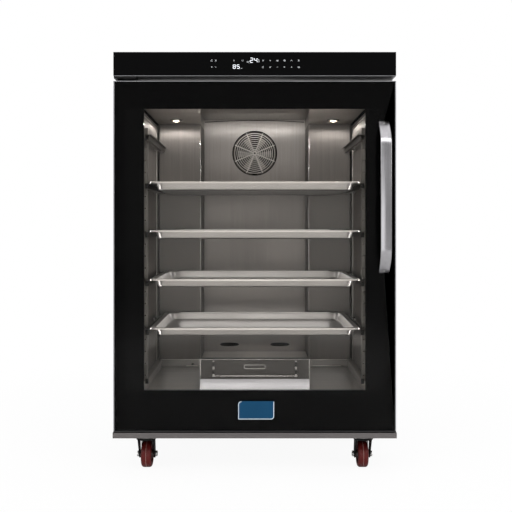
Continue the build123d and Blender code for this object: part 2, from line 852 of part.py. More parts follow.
def power_box():
    """Closed box with the supply and the terminals, on the floor of the top box."""
    x = half_body - sheet - power_box_side_gap
    y = body_back_y - sheet - power_box_rear_gap
    return block(x - power_box_width, x, y - power_box_depth, y, body_top, body_top + power_box_height)


# ---------------------------------------------------------------------- door

def door_frame():
    """Two stiles and two rails, rebated for the inner glass and bored for the hinge bushes."""
    front = door_front_y + outer_glass + border_sheet
    reveal = half_window + frame_reveal
    low = window_bottom - frame_reveal
    high = window_top + frame_reveal
    rebate = block(-reveal - inner_glass_lap, reveal + inner_glass_lap, door_back_y - inner_glass,
                   door_back_y, low - inner_glass_lap, high + inner_glass_lap)
    stile = block(-half_door, -reveal, front, door_back_y, door_bottom, door_top)
    stile = stile + block(-half_door, -half_door + edge_lip_side, door_front_y, front, door_bottom, door_top)
    right = mirrored(stile) - rebate - handle_screw_holes()
    left = stile - rebate
    for z, direction in ((door_bottom, "+Z"), (door_top, "-Z")):
        left = left - rod(hinge_x, hinge_y, z, bush_radius, bush_length, direction)
    top = block(-reveal, reveal, front, door_back_y, high, door_top)
    top = top + block(-half_door + edge_lip_side, half_door - edge_lip_side, door_front_y, front,
                      door_top - edge_lip_end, door_top)
    top = top - left - right
    bottom = block(-reveal, reveal, front, door_back_y, door_bottom, low)
    bottom = bottom + block(-half_door + edge_lip_side, half_door - edge_lip_side, door_front_y, front,
                            door_bottom, door_bottom + edge_lip_end)
    bottom = bottom - left - right
    return [left, right, top - rebate, bottom - rebate]


def door_glass_front():
    """Outer pane, drilled for the handle's screws."""
    pane = block(-half_door + edge_lip_side, half_door - edge_lip_side, door_front_y,
                 door_front_y + outer_glass, door_bottom + edge_lip_end, door_top - edge_lip_end)
    return pane - handle_screw_holes()


def door_border():
    """Opaque border behind the outer pane, round the window."""
    y0 = door_front_y + outer_glass
    y1 = y0 + border_sheet
    ring = block(-half_door + edge_lip_side, half_door - edge_lip_side, y0, y1, door_bottom + edge_lip_end,
                 door_top - edge_lip_end)
    ring = ring - block(-half_window, half_window, y0, y1, window_bottom, window_top)
    return ring - handle_screw_holes()


def door_glass_back():
    """Inner pane, flush in the frame's rebate."""
    reveal = half_window + frame_reveal + inner_glass_lap
    low = window_bottom - frame_reveal - inner_glass_lap
    high = window_top + frame_reveal + inner_glass_lap
    return block(-reveal, reveal, door_back_y - inner_glass, door_back_y, low, high)


def door_gasket():
    """Seal on the door's back, just clear of the front frame when shut."""
    x = half_chamber + gasket_inset + gasket_width
    low = floor_z - sheet - gasket_inset - gasket_width
    high = ceiling_z + gasket_inset + gasket_width
    back = body_front_y - seat_gap
    ring = block(-x, x, door_back_y, back, low, high)
    hole = block(-x + gasket_width, x - gasket_width, door_back_y, back, low + gasket_width,
                 high - gasket_width)
    return ring - hole


def handle_screw_places():
    """Heights of the handle's two screws."""
    low = door_bottom + handle_low
    return [low + handle_end / 2, low + handle_length - handle_end / 2]


def handle_screw_holes():
    """Counterbored holes through the door's right side for the handle's screws."""
    holes = []
    for z in handle_screw_places():
        holes.append(rod(handle_center_x, door_front_y, z, handle_screw_radius, door_thickness, "+Y"))
        holes.append(rod(handle_center_x, door_back_y, z, handle_screw_head_radius, handle_screw_head, "-Y"))
    return holes


def door_handle():
    """Flat strip bent into a bow, with an end pad that lies on the glass."""
    low = door_bottom + handle_low
    high = low + handle_length
    face = door_front_y
    front = handle_front_y
    inner = front + handle_sheet
    bend = handle_slant + handle_sheet / 2
    outer = [(face, low), (face, low + handle_end), (inner, low + bend), (inner, high - bend),
             (face, high - handle_end), (face, high), (front, high - handle_slant),
             (front, low + handle_slant)]
    bow = profile_x(outer, handle_center_x - handle_width / 2, handle_center_x + handle_width / 2)
    for z in handle_screw_places():
        bow = bow - rod(handle_center_x, door_front_y, z, handle_screw_radius, handle_screw_bite, "-Y")
    return bow


def handle_screws():
    """Screws from the door's back into the handle's ends."""
    screws = []
    for z in handle_screw_places():
        shank = rod(handle_center_x, door_front_y - handle_screw_bite, z, handle_screw_radius,
                    handle_screw_bite + door_thickness, "+Y")
        head = rod(handle_center_x, door_back_y, z, handle_screw_head_radius, handle_screw_head, "-Y")
        screws.append(shank + head)
    return screws


def door_badge():
    """Plain plate on the glass under the window, two opposite corners rounded, with no marking."""
    z = door_bottom + badge_rise + badge_height / 2
    face = Plane(origin=(badge_offset, door_front_y, z), x_dir=(1, 0, 0), z_dir=(0, -1, 0))
    outline = Rectangle(badge_width, badge_height)
    outline = fillet([corner for corner in outline.vertices() if corner.X * corner.Y < 0], badge_corner)
    return extrude(face * outline, amount=badge_sheet)


# -------------------------------------------------------------------- hinges

def hinge_bracket_lower():
    """Plate on the base with the lower hinge pin."""
    plate = block(-half_body, -half_body + bracket_length, door_front_y + bracket_setback, body_front_y,
                  body_bottom, body_bottom + bracket_sheet)
    pin = rod(hinge_x, hinge_y, body_bottom + bracket_sheet, hinge_pin_radius,
              door_gap_bottom - bracket_sheet + hinge_pin_length, "+Z")
    return plate + pin


def hinge_bracket_upper():
    """Plate under the top box with the upper hinge pin."""
    plate = block(-half_body, -half_body + bracket_length, door_front_y + bracket_setback, body_front_y,
                  body_top - top_bracket_sheet, body_top)
    pin = rod(hinge_x, hinge_y, body_top - top_bracket_sheet, hinge_pin_radius,
              door_gap_top - top_bracket_sheet + hinge_pin_length, "-Z")
    return plate + pin


def hinge_bushes():
    """Sleeves in the door that turn on the pins."""
    bushes = []
    for z, direction in ((door_bottom, "+Z"), (door_top, "-Z")):
        sleeve = rod(hinge_x, hinge_y, z, bush_radius, bush_length, direction)
        bore = rod(hinge_x, hinge_y, z, hinge_pin_radius + shaft_gap, bush_bore_depth, direction)
        bushes.append(sleeve - bore)
    return bushes


# ------------------------------------------------------------------- casters

def caster_places():
    """Swivel axes of the four casters: front left, front right, rear left, rear right."""
    front = door_front_y + caster_front_inset
    rear = body_back_y - caster_rear_inset
    return [(-caster_x, front), (caster_x, front), (-caster_x, rear), (caster_x, rear)]


def bolt_places():
    """Centres of the sixteen bolts that hold the caster plates."""
    places = []
    for x, y in caster_places():
        for dx in (-1, 1):
            for dy in (-1, 1):
                places.append((x + dx * (plate_width / 2 - bolt_inset),
                               y + dy * (plate_length / 2 - bolt_inset)))
    return places


def bolt_holes(z0, depth):
    """Holes for the bolts, upwards from a height."""
    return [rod(x, y, z0, bolt_radius, depth, "+Z") for x, y in bolt_places()]


def caster_plates():
    """Top plates with the upper race and the king pin that carries the fork."""
    plates = []
    low = caster_height - plate_sheet
    for x, y in caster_places():
        plate = block(x - plate_width / 2, x + plate_width / 2, y - plate_length / 2, y + plate_length / 2,
                      low, caster_height)
        race = rod(x, y, low, race_radius, race_height, "-Z")
        king = rod(x, y, low - race_height, king_radius, crown_sheet + 2 * seat_gap, "-Z")
        head = rod(x, y, low - race_height - crown_sheet - 2 * seat_gap, king_head_radius, king_head, "-Z")
        plates.append(plate - bolt_holes(low, plate_sheet) + race + king + head)
    return plates


def caster_bolts():
    """Hex bolts through the plates into the base."""
    bolts = []
    low = caster_height - plate_sheet
    for x, y in bolt_places():
        head = Plane(origin=(x, y, low)) * extrude(RegularPolygon(bolt_head_radius, 6), amount=-bolt_head)
        shank = rod(x, y, low, bolt_radius, plate_sheet + bolt_depth, "+Z")
        bolts.append(head + shank)
    return bolts


def caster_fork(x, y):
    """Pressed fork: crown under the race and two legs down to the axle behind it."""
    top = caster_height - plate_sheet - race_height - seat_gap
    crown = rod(x, y, top, crown_radius, crown_sheet, "-Z")
    crown = crown - rod(x, y, top, king_radius + shaft_gap, crown_sheet, "-Z")
    half_in = fork_gap / 2
    axle_y = y + caster_trail
    eye_low = wheel_radius - fork_eye
    chamfer_z = eye_low + fork_chamfer_z
    outline = [(y - fork_front, top), (y + fork_back, top), (axle_y + fork_eye, wheel_radius),
               (axle_y + fork_chamfer_y, chamfer_z), (axle_y, eye_low), (axle_y - fork_chamfer_y, chamfer_z),
               (axle_y - fork_eye, wheel_radius)]
    fork = crown
    for side in (-1, 1):
        leg = profile_x(outline, x + side * half_in, x + side * (half_in + fork_sheet))
        hole = rod(x - half_in - fork_sheet, axle_y, wheel_radius, axle_radius,
                   fork_gap + 2 * fork_sheet, "+X")
        fork = fork + (leg - hole)
    reach = half_in + fork_sheet
    bridge = block(x - reach, x + reach, y - fork_front, y + fork_back, top - crown_sheet, top)
    bridge = bridge - rod(x, y, top, king_radius + shaft_gap, crown_sheet, "-Z")
    return fork + bridge


def caster_axle(x, y):
    """Axle bolt through the fork, with a head and a nut."""
    axle_y = y + caster_trail
    outside = fork_gap / 2 + fork_sheet
    shank = rod(x - outside, axle_y, wheel_radius, axle_radius, 2 * outside, "+X")
    ends = []
    for side in (-1, 1):
        face = Plane(origin=(x + side * outside, axle_y, wheel_radius), z_dir=(side, 0, 0))
        ends.append(extrude(face * RegularPolygon(axle_head_radius, 6), amount=axle_head))
    return shank + ends


def caster_wheel(x, y):
    """Tyre with rounded shoulders on a hub that runs on the axle."""
    axle_y = y + caster_trail
    rim = wheel_radius - tyre_depth
    tyre = rod(x - wheel_width / 2, axle_y, wheel_radius, wheel_radius, wheel_width, "+X")
    shoulders = tyre.edges().filter_by(GeomType.CIRCLE)
    bore = rod(x - wheel_width / 2, axle_y, wheel_radius, rim, wheel_width, "+X")
    tyre = fillet(shoulders, tyre_round) - bore
    core_width = wheel_width - 2 * hub_inset
    core = rod(x - core_width / 2, axle_y, wheel_radius, rim, core_width, "+X")
    hub_length = fork_gap - 2 * seat_gap
    core = core + rod(x - hub_length / 2, axle_y, wheel_radius, hub_radius, hub_length, "+X")
    bore = rod(x - hub_length / 2, axle_y, wheel_radius, axle_radius + shaft_gap, hub_length, "+X")
    return [tyre, core - bore]


save("base_frame", base_frame())
save("side_panel_left", side_panel())
save("side_panel_right", mirrored(side_panel()))
save("front_frame", front_frame())
save("top_cover", top_cover())
save("rear_cover", rear_cover())
save("rear_cover_screws", rear_cover_screws())
save("cable_gland", cable_gland())
save("chamber_wall_left", chamber_wall())
save("chamber_wall_right", mirrored(chamber_wall()))
save("chamber_ceiling", chamber_ceiling())
save("chamber_floor", chamber_floor())
save("chamber_rear_wall", chamber_rear_wall())
save("back_panels", back_panels())
save("alcove_sides", both_sides(alcove_side()))
save("alcove_back", alcove_back())
save("wall_insulation", wall_insulation())
save("rack_uprights", rack_uprights())
save("rack_runners_left", rack_runners())
save("rack_runners_right", [mirrored(runner) for runner in rack_runners()])
save("humidifier_housing", humidifier_housing())
save("evaporator_pan", evaporator_pan())
save("humidifier_heater", humidifier_heater())
save("water_drawer", water_drawer())
save("fan_grille", fan_grille())
save("fan_impeller", fan_impeller())
save("fan_motor", fan_motor())
save("heating_element", heating_element())
save("lamp_bezels", lamp_bezels())
save("lamp_lenses", lamp_lenses())
save("control_glass", control_glass_panel())
save("control_housing", control_housing())
save("control_board", control_board())
save("power_box", power_box())
save("door_frame", door_frame())
save("door_glass_front", door_glass_front())
save("door_border", door_border())
save("door_glass_back", door_glass_back())
save("door_gasket", door_gasket())
save("door_handle", door_handle())
save("handle_screws", handle_screws())
save("door_badge", door_badge())
save("hinge_bracket_upper", hinge_bracket_upper())
save("hinge_bracket_lower", hinge_bracket_lower())
save("hinge_bushes", hinge_bushes())
save("caster_plates", caster_plates())
save("caster_bolts", caster_bolts())
for number in range(tray_count):
    save(f"tray_{number + 1}", tray(number + 1))
corner_names = ["front_left", "front_right", "rear_left", "rear_right"]
for corner, (caster_px, caster_py) in zip(corner_names, caster_places()):
    save(f"caster_fork_{corner}", [caster_fork(caster_px, caster_py), caster_axle(caster_px, caster_py)])
    save(f"caster_wheel_{corner}", caster_wheel(caster_px, caster_py))
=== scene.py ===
import json
import math

import bmesh
import bpy
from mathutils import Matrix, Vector

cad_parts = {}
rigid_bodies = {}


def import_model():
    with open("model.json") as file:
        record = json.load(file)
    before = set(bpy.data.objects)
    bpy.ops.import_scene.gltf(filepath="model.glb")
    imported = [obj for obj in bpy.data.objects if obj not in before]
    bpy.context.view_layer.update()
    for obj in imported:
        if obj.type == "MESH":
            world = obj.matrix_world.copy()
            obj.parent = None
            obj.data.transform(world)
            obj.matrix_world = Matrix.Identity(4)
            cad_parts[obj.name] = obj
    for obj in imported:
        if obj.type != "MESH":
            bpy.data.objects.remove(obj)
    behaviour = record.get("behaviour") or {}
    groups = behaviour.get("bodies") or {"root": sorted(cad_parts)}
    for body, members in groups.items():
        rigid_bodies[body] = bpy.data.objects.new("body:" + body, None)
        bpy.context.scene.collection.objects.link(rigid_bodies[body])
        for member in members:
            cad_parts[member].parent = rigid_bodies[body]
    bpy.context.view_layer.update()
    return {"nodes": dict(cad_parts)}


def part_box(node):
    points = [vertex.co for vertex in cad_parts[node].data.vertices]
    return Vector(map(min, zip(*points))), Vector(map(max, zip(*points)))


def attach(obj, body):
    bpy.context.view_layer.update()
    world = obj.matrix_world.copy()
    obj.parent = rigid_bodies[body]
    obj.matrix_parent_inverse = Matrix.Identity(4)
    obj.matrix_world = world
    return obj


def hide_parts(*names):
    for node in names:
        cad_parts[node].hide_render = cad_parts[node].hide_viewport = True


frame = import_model()
nodes = frame["nodes"]

# The camera, from the photograph's perspective: place in metres, lens and sensor in millimetres
CAMERA = (0.0, -2.460, 0.690)
LENS = 53.93
SENSOR = 36
SHIFT = (0.0025, -0.0605)

# Pieces are drawn in millimetres and scaled to metres when they are added
MM = 0.001
# Gaps in millimetres between a piece of dress and the CAD face that it lies on
GAP = 0.1
FINE_GAP = 0.05


# ------------------------------------------------------------ material helpers

class Tree:
    """A material's nodes, with short calls for what the finishes share."""

    def __init__(self, name):
        self.material = bpy.data.materials.new(name)
        self.material.use_nodes = True
        self.nodes = self.material.node_tree.nodes
        self.links = self.material.node_tree.links
        self.nodes.clear()
        self.output = self.nodes.new("ShaderNodeOutputMaterial")
        self.place = self.nodes.new("ShaderNodeTexCoord").outputs["Object"]

    def add(self, kind, settings=(), **inputs):
        node = self.nodes.new("ShaderNode" + kind)
        for name, value in dict(settings).items():
            setattr(node, name, value)
        for name, value in inputs.items():
            self.set(node.inputs[name.replace("_", " ")], value)
        return node

    def set(self, socket, value):
        if isinstance(value, bpy.types.NodeSocket):
            self.links.new(value, socket)
        else:
            socket.default_value = value

    def scaled(self, scale):
        return self.add("Mapping", Vector=self.place, Scale=scale).outputs[0]

    def noise(self, scale, stretch, detail, roughness=0.5):
        return self.add("TexNoise", Vector=self.scaled(stretch), Scale=scale, Detail=detail,
                        Roughness=roughness).outputs["Fac"]

    def remap(self, value, low, high, to_low=0.0, to_high=1.0):
        node = self.add("MapRange", Value=value)
        for name, number in (("From Min", low), ("From Max", high), ("To Min", to_low), ("To Max", to_high)):
            node.inputs[name].default_value = number
        return node.outputs[0]

    def math(self, operation, a, b=0.0):
        node = self.nodes.new("ShaderNodeMath")
        node.operation = operation
        self.set(node.inputs[0], a)
        self.set(node.inputs[1], b)
        return node.outputs[0]

    def mix(self, factor, a, b):
        node = self.nodes.new("ShaderNodeMix")
        node.data_type = "RGBA"
        self.set(node.inputs[0], factor)
        self.set(node.inputs[6], a)
        self.set(node.inputs[7], b)
        return node.outputs[2]

    def bump(self, height, strength, distance):
        return self.add("Bump", Height=height, Strength=strength, Distance=distance).outputs[0]

    def finish(self, shader):
        self.links.new(shader, self.output.inputs["Surface"])
        return self.material


def rgb(*values):
    """A shader colour from linear values."""
    return (*values, 1.0)


def shade(colour, factor):
    """The colour made darker or paler by a factor."""
    return rgb(*[min(1.0, channel * factor) for channel in colour[:3]])


def blend(tree, factor, first, second):
    """Mix of two shaders in a material's or a world's tree."""
    both = tree.nodes.new("ShaderNodeMixShader")
    for socket, value in zip(both.inputs, (factor, first, second)):
        tree.links.new(value, socket)
    return both.outputs[0]


def seen_directly(tree):
    """1 for what the camera sees, also through glass, and 0 for what only lights the object."""
    path = tree.nodes.new("ShaderNodeLightPath")
    either = tree.nodes.new("ShaderNodeMath")
    either.operation = "MAXIMUM"
    tree.links.new(path.outputs["Is Camera Ray"], either.inputs[0])
    tree.links.new(path.outputs["Is Transmission Ray"], either.inputs[1])
    return either.outputs[0]


# Noise runs about 0.5, so these low and high values stretch it over a look's whole range
NOISE_LOW, NOISE_HIGH = 0.3, 0.7
EVEN = (1, 1, 1)

GLOSS_SPREAD = 0.05

# Brushed metal: the tones of its dark and pale streaks, the share of fine streaks, the broad ones'
# frequency as a share of theirs, the smears' frequency, share and dullness, the reach in metres of the
# painted shade in corners, the openness from which it fades and where it ends, the width over which
# the painted shade on sides facing a given way begins in the normal's part, and the streaks' depth
STREAK_TONES = (0.86, 1.1)
FINE_SHARE = 0.6
BROAD_GRAIN = 0.17
SMEARS = 5.0
SMEAR_SHARE = 0.14
SMEAR_DULLNESS = 0.07
CORNER_SHADE_REACH = 0.03
CORNER_SHADE_FADE = (0.25, 0.85)
FACING_SHADE_BLEND = 0.12
BRUSH_DEPTH = 0.0004


def brushed(name, colour, rough, grain, strength=0.25, around="Z", stretched=0.55, corner_shade=0.5, facing_shade=()):
    """Brushed metal: fine streaks along one axis, wiped smears, and painted shade in corners and on sides
    that face given ways.

    facing_shade lists (axis, limit, factor) of painted shade: where the normal's part along the axis is
    under the limit, the colour is multiplied by the factor.
    """
    t = Tree(name)
    fine = t.noise(1.0, grain, 3.0, 0.6)
    broad = t.noise(1.0, tuple(value * BROAD_GRAIN for value in grain), 2.0, 0.5)
    smear = t.noise(SMEARS, EVEN, 3.0, 0.55)
    streak = t.math("ADD", t.math("MULTIPLY", fine, FINE_SHARE), t.math("MULTIPLY", broad, 1 - FINE_SHARE))
    tone = t.math("ADD", t.math("MULTIPLY", streak, 1 - SMEAR_SHARE), t.math("MULTIPLY", smear, SMEAR_SHARE))
    base = t.mix(t.remap(tone, 0.35, 0.65), *[shade(colour, factor) for factor in STREAK_TONES])
    # Painted shade: the colour darkens where ambient occlusion finds corners and creases
    corner = t.add("AmbientOcclusion", {"samples": 4}, Distance=CORNER_SHADE_REACH).outputs["AO"]
    base = t.mix(t.remap(corner, *CORNER_SHADE_FADE), shade(colour, 1 - corner_shade), base)
    normal = t.add("SeparateXYZ", Vector=t.nodes.new("ShaderNodeTexCoord").outputs["Normal"])
    # Painted shade on the sides that face the given ways
    for axis, limit, factor in facing_shade:
        part = t.math("MULTIPLY", normal.outputs[axis[-1]], -1.0 if axis[0] == "-" else 1.0)
        reach = t.remap(part, limit - FACING_SHADE_BLEND, limit + FACING_SHADE_BLEND)
        base = t.mix(reach, shade(colour, factor), base)
    ripple = t.remap(streak, NOISE_LOW, NOISE_HIGH, -GLOSS_SPREAD, GLOSS_SPREAD)
    dull = t.remap(smear, NOISE_LOW, NOISE_HIGH, rough - GLOSS_SPREAD, rough + SMEAR_DULLNESS)
    tangent = t.add("Tangent", {"direction_type": "RADIAL", "axis": around}).outputs[0]
    shader = t.add("BsdfPrincipled", Base_Color=base, Metallic=1.0, Roughness=t.math("ADD", ripple, dull),
                   Anisotropic=stretched, Tangent=tangent, Normal=t.bump(streak, strength, BRUSH_DEPTH))
    return t.finish(shader.outputs[0])


GRAIN_DEPTH = 0.0002
COLOUR_DRIFTS = 9.0


def plastic(name, colour, rough, spread=0.08, scale=900.0, bump=0.15, ior=1.45):
    """Moulded or painted surface: fine grain, slight colour drift."""
    t = Tree(name)
    grain = t.noise(scale, EVEN, 2.0)
    drift = t.noise(COLOUR_DRIFTS, EVEN, 3.0)
    base = t.mix(t.remap(drift, NOISE_LOW, NOISE_HIGH), shade(colour, 1 - spread), shade(colour, 1 + spread))
    gloss = t.remap(grain, NOISE_LOW, NOISE_HIGH, rough - GLOSS_SPREAD, rough + GLOSS_SPREAD)
    shader = t.add("BsdfPrincipled", Base_Color=base, Roughness=gloss, IOR=ior,
                   Normal=t.bump(grain, bump, GRAIN_DEPTH))
    return t.finish(shader.outputs[0])


# Low indices: the photograph's glass mirrors little of the room
PANE_INDEX = 1.12
PRINT_INDEX = 1.17
PRINT_EDGE = 0.002


def window_mask(t):
    """1 in the clear window of the door and 0 over the black print, which has a gloss of its own."""
    corners = [vertex.co for vertex in nodes["door_border"].data.vertices]
    outer = max(abs(corner.x) for corner in corners) - PRINT_EDGE
    inner = [corner for corner in corners if abs(corner.x) < outer]
    place = t.add("SeparateXYZ", Vector=t.place)
    beside = t.math("ABSOLUTE", place.outputs["X"])
    inside = t.math("LESS_THAN", beside, max(abs(corner.x) for corner in inner))
    under = t.math("LESS_THAN", place.outputs["Z"], max(corner.z for corner in inner))
    over = t.math("GREATER_THAN", place.outputs["Z"], min(corner.z for corner in inner))
    return t.math("MULTIPLY", t.math("MULTIPLY", inside, under), over)


def pane(name, tint):
    """Thin clear glass: what is behind it, and in the window a mirror image that grows at a low angle."""
    t = Tree(name)
    film = t.remap(t.noise(14.0, EVEN, 2.0), NOISE_LOW, NOISE_HIGH, 0.0, 0.04)
    clear = t.add("BsdfTransparent", Color=tint).outputs[0]
    mirror = t.add("BsdfAnisotropic", Color=rgb(0.95, 0.95, 0.95), Roughness=film).outputs[0]
    edge = t.math("MULTIPLY", t.add("Fresnel", IOR=PANE_INDEX).outputs[0], window_mask(t))
    return t.finish(blend(t, edge, clear, mirror))


def black_glass(name):
    """Opaque black print behind glass, with faint dust and wiping marks in the gloss."""
    t = Tree(name)
    wipe = t.noise(6.0, (1, 1, 3), 2.0, 0.5)
    dust = t.noise(1500.0, EVEN, 1.0)
    base = t.mix(t.remap(dust, 0.62, 0.75), rgb(0.0012, 0.0012, 0.0013), rgb(0.003, 0.003, 0.0032))
    gloss = t.remap(wipe, 0.35, 0.7, 0.04, 0.08)
    shader = t.add("BsdfPrincipled", Base_Color=base, Roughness=gloss, IOR=PRINT_INDEX)
    return t.finish(shader.outputs[0])


def glowing(name, colour, strength):
    """Lit lens or display segment, brighter in the middle of its noise cells."""
    t = Tree(name)
    cell = t.noise(400.0, EVEN, 1.0)
    glow = t.mix(t.remap(cell, NOISE_LOW, NOISE_HIGH), shade(colour, 0.88), colour)
    shader = t.add("BsdfPrincipled", Base_Color=glow, Roughness=0.35, Emission_Color=glow,
                   Emission_Strength=strength)
    return t.finish(shader.outputs[0])


# Noise cells per metre along each axis: streaks run where they are few
VERTICAL = (900, 900, 9)
ALONG_X = (9, 900, 900)
ALONG_Y = (900, 9, 900)
CAST = (60, 60, 60)
TURNED = (200, 200, 200)

# Every brushed finish darkens its corners by corner_shade: painted shade
finishes = {
    "liner": brushed("liner", (0.29, 0.272, 0.26), 0.5, VERTICAL, stretched=0.9),
    # The alcove's back: the liner's steel painted paler, as painted light on its recessed face
    "alcove": brushed("alcove", (0.43, 0.405, 0.388), 0.42, VERTICAL, stretched=0.9, corner_shade=0.25),
    "grille": brushed("grille", (0.58, 0.56, 0.54), 0.4, VERTICAL, stretched=0.5, corner_shade=0.1),
    "bead": brushed("bead", (0.95, 0.92, 0.89), 0.45, ALONG_Y, stretched=0.0, corner_shade=0.1),
    # The floor's sides that face the front are painted darker: painted shade
    "floor_steel": brushed("floor_steel", (0.80, 0.775, 0.745), 0.42, ALONG_X, around="X",
                           facing_shade=[("Y", -0.5, 0.42)]),
    # The alcove's sides: the liner's steel painted dark, as painted shade for the shadow on them
    "cheek_shade": brushed("cheek_shade", (0.13, 0.122, 0.115), 0.42, VERTICAL, stretched=0.6),
    # The rear wall behind the fan: near black, painted shade that makes the grille's gaps dark
    "behind": brushed("behind", (0.008, 0.008, 0.008), 0.6, VERTICAL, stretched=0.0),
    "liner_flat": brushed("liner_flat", (0.40, 0.385, 0.365), 0.42, ALONG_Y, around="X"),
    "shell": brushed("shell", (0.55, 0.54, 0.53), 0.38, VERTICAL),
    # The top cover: the shell's steel painted darker, as painted shade against the lamps' highlight on it
    "shell_flat": brushed("shell_flat", (0.42, 0.412, 0.405), 0.52, ALONG_X, around="X", stretched=0.3),
    # The base's top faces are painted near black: painted shadow in the gap under the door
    "base": brushed("base", (0.165, 0.153, 0.151), 0.42, ALONG_X, facing_shade=[("-Z", -0.7, 0.05)]),
    "rack": brushed("rack", (0.36, 0.35, 0.33), 0.38, VERTICAL),
    "runner": brushed("runner", (0.16, 0.155, 0.148), 0.36, ALONG_Y, around="X"),
    # The trays' fronts, outer sides and undersides are painted darker: painted shade
    "tray": brushed("tray", (0.86, 0.83, 0.81), 0.34, ALONG_X, strength=0.08, around="X", stretched=0.3,
                    corner_shade=0.25, facing_shade=[("Y", -0.5, 0.84), ("Z", -0.12, 0.62), ("Z", -0.7, 0.25)]),
    "humidifier": brushed("humidifier", (0.095, 0.091, 0.088), 0.42, ALONG_X),
    "polished": brushed("polished", (0.53, 0.53, 0.555), 0.45, ALONG_X, strength=0.05, stretched=0.2,
                        corner_shade=0.1),
    "aluminium": brushed("aluminium", (0.32, 0.32, 0.333), 0.4, VERTICAL, strength=0.1),
    "handle": brushed("handle", (0.36, 0.352, 0.365), 0.22, VERTICAL, strength=0.08, around="X",
                      stretched=0.3, corner_shade=0.2),
    "zinc": brushed("zinc", (0.42, 0.41, 0.40), 0.36, CAST, strength=0.2, stretched=0.0),
    # Black zinc of the caster forks; on the hinge brackets the same black is painted shade in the door's gaps
    "dark_zinc": brushed("dark_zinc", (0.016, 0.016, 0.016), 0.38, CAST, strength=0.2, stretched=0.0),
    "bright": brushed("bright", (0.72, 0.71, 0.70), 0.2, TURNED, strength=0.1, stretched=0.0),
    "heater": brushed("heater", (0.20, 0.18, 0.17), 0.42, TURNED, stretched=0.0),
    "brass": brushed("brass", (0.62, 0.45, 0.20), 0.3, ALONG_X, strength=0.15),
    "motor": plastic("motor", (0.025, 0.026, 0.028), 0.5),
    "fan": brushed("fan", (0.25, 0.243, 0.236), 0.5, TURNED, stretched=0.0, corner_shade=0.0),
    "enamel": plastic("enamel", (0.72, 0.78, 0.84), 0.4, spread=0.03, bump=0.02),
    "seal": plastic("seal", (0.018, 0.018, 0.019), 0.6, bump=0.3),
    "moulded_black": plastic("moulded_black", (0.02, 0.02, 0.02), 0.45),
    "moulded_grey": plastic("moulded_grey", (0.40, 0.41, 0.41), 0.45),
    "board": plastic("board", (0.02, 0.11, 0.05), 0.4),
    "tyre": plastic("tyre", (0.09, 0.009, 0.008), 0.34, spread=0.16, bump=0.2, ior=1.3),
    "badge": plastic("badge", (0.0008, 0.045, 0.107), 0.35, bump=0.03, ior=1.25),
    "wool": plastic("wool", (0.62, 0.50, 0.22), 0.9, spread=0.25, scale=260.0, bump=0.9),
    "black_glass": black_glass("black_glass"),
    "pane": pane("pane", rgb(0.985, 0.98, 0.972)),
    "lamp": glowing("lamp", rgb(1.0, 0.86, 0.66), 5.0),
    "lamp_rim": glowing("lamp_rim", rgb(1.0, 0.84, 0.62), 0.9),
    "display": glowing("display", rgb(0.92, 0.95, 1.0), 0.7),
    "sign_print": glowing("sign_print", rgb(0.70, 0.72, 0.74), 0.22),
    "hub": plastic("hub", (0.03, 0.012, 0.011), 0.4),
    "parting": plastic("parting", (0.30, 0.17, 0.15), 0.35, bump=0.05),
    "plug": plastic("plug", (0.012, 0.012, 0.012), 0.5),
    # Near black: painted shade in the air slots and round the fan's grille, and the dark strips along the
    # ceiling's edges and the channel's arch
    "void": plastic("void", (0.0015, 0.0015, 0.0015), 0.9, bump=0.05, ior=1.05),
}

CORNERS = ("front_left", "front_right", "rear_left", "rear_right")

# The CAD nodes in each finish
painted = {
    "liner": ["chamber_wall_left", "chamber_wall_right", "back_panels"],
    "grille": ["fan_grille"],
    "alcove": ["alcove_back"],
    "cheek_shade": ["alcove_sides"],
    "behind": ["chamber_rear_wall"],
    "liner_flat": ["chamber_ceiling"],
    "floor_steel": ["chamber_floor", "evaporator_pan"],
    "shell": ["side_panel_left", "side_panel_right", "front_frame", "rear_cover"],
    "shell_flat": ["top_cover"],
    "base": ["base_frame"],
    "rack": ["rack_uprights"],
    "runner": ["rack_runners_left", "rack_runners_right"],
    "tray": ["tray_1", "tray_2", "tray_3", "tray_4"],
    "humidifier": ["humidifier_housing", "water_drawer"],
    "aluminium": ["door_frame", "control_housing"],
    "handle": ["door_handle"],
    "zinc": ["caster_plates"],
    # The hinge brackets are black as painted shade in the gaps round the door
    "dark_zinc": ["hinge_bracket_upper", "hinge_bracket_lower"] + [f"caster_fork_{name}" for name in CORNERS],
    "bright": ["lamp_bezels", "caster_bolts", "handle_screws", "rear_cover_screws"],
    "heater": ["heating_element", "humidifier_heater"],
    "brass": ["hinge_bushes"],
    "motor": ["fan_motor"],
    "fan": ["fan_impeller"],
    "seal": ["door_gasket"],
    "moulded_black": ["cable_gland"],
    "moulded_grey": ["power_box"],
    "board": ["control_board"],
    "tyre": [f"caster_wheel_{name}" for name in CORNERS],
    "badge": ["door_badge"],
    "wool": ["wall_insulation"],
    "black_glass": ["door_border", "control_glass"],
    "pane": ["door_glass_front", "door_glass_back"],
    "lamp_rim": ["lamp_lenses"],
}


def paint_nodes():
    """Gives each CAD node its finish."""
    for finish, names in painted.items():
        for name in names:
            slots = nodes[name].data.materials
            slots.clear()
            slots.append(finishes[finish])


# --------------------------------------------------------- stage, light, camera

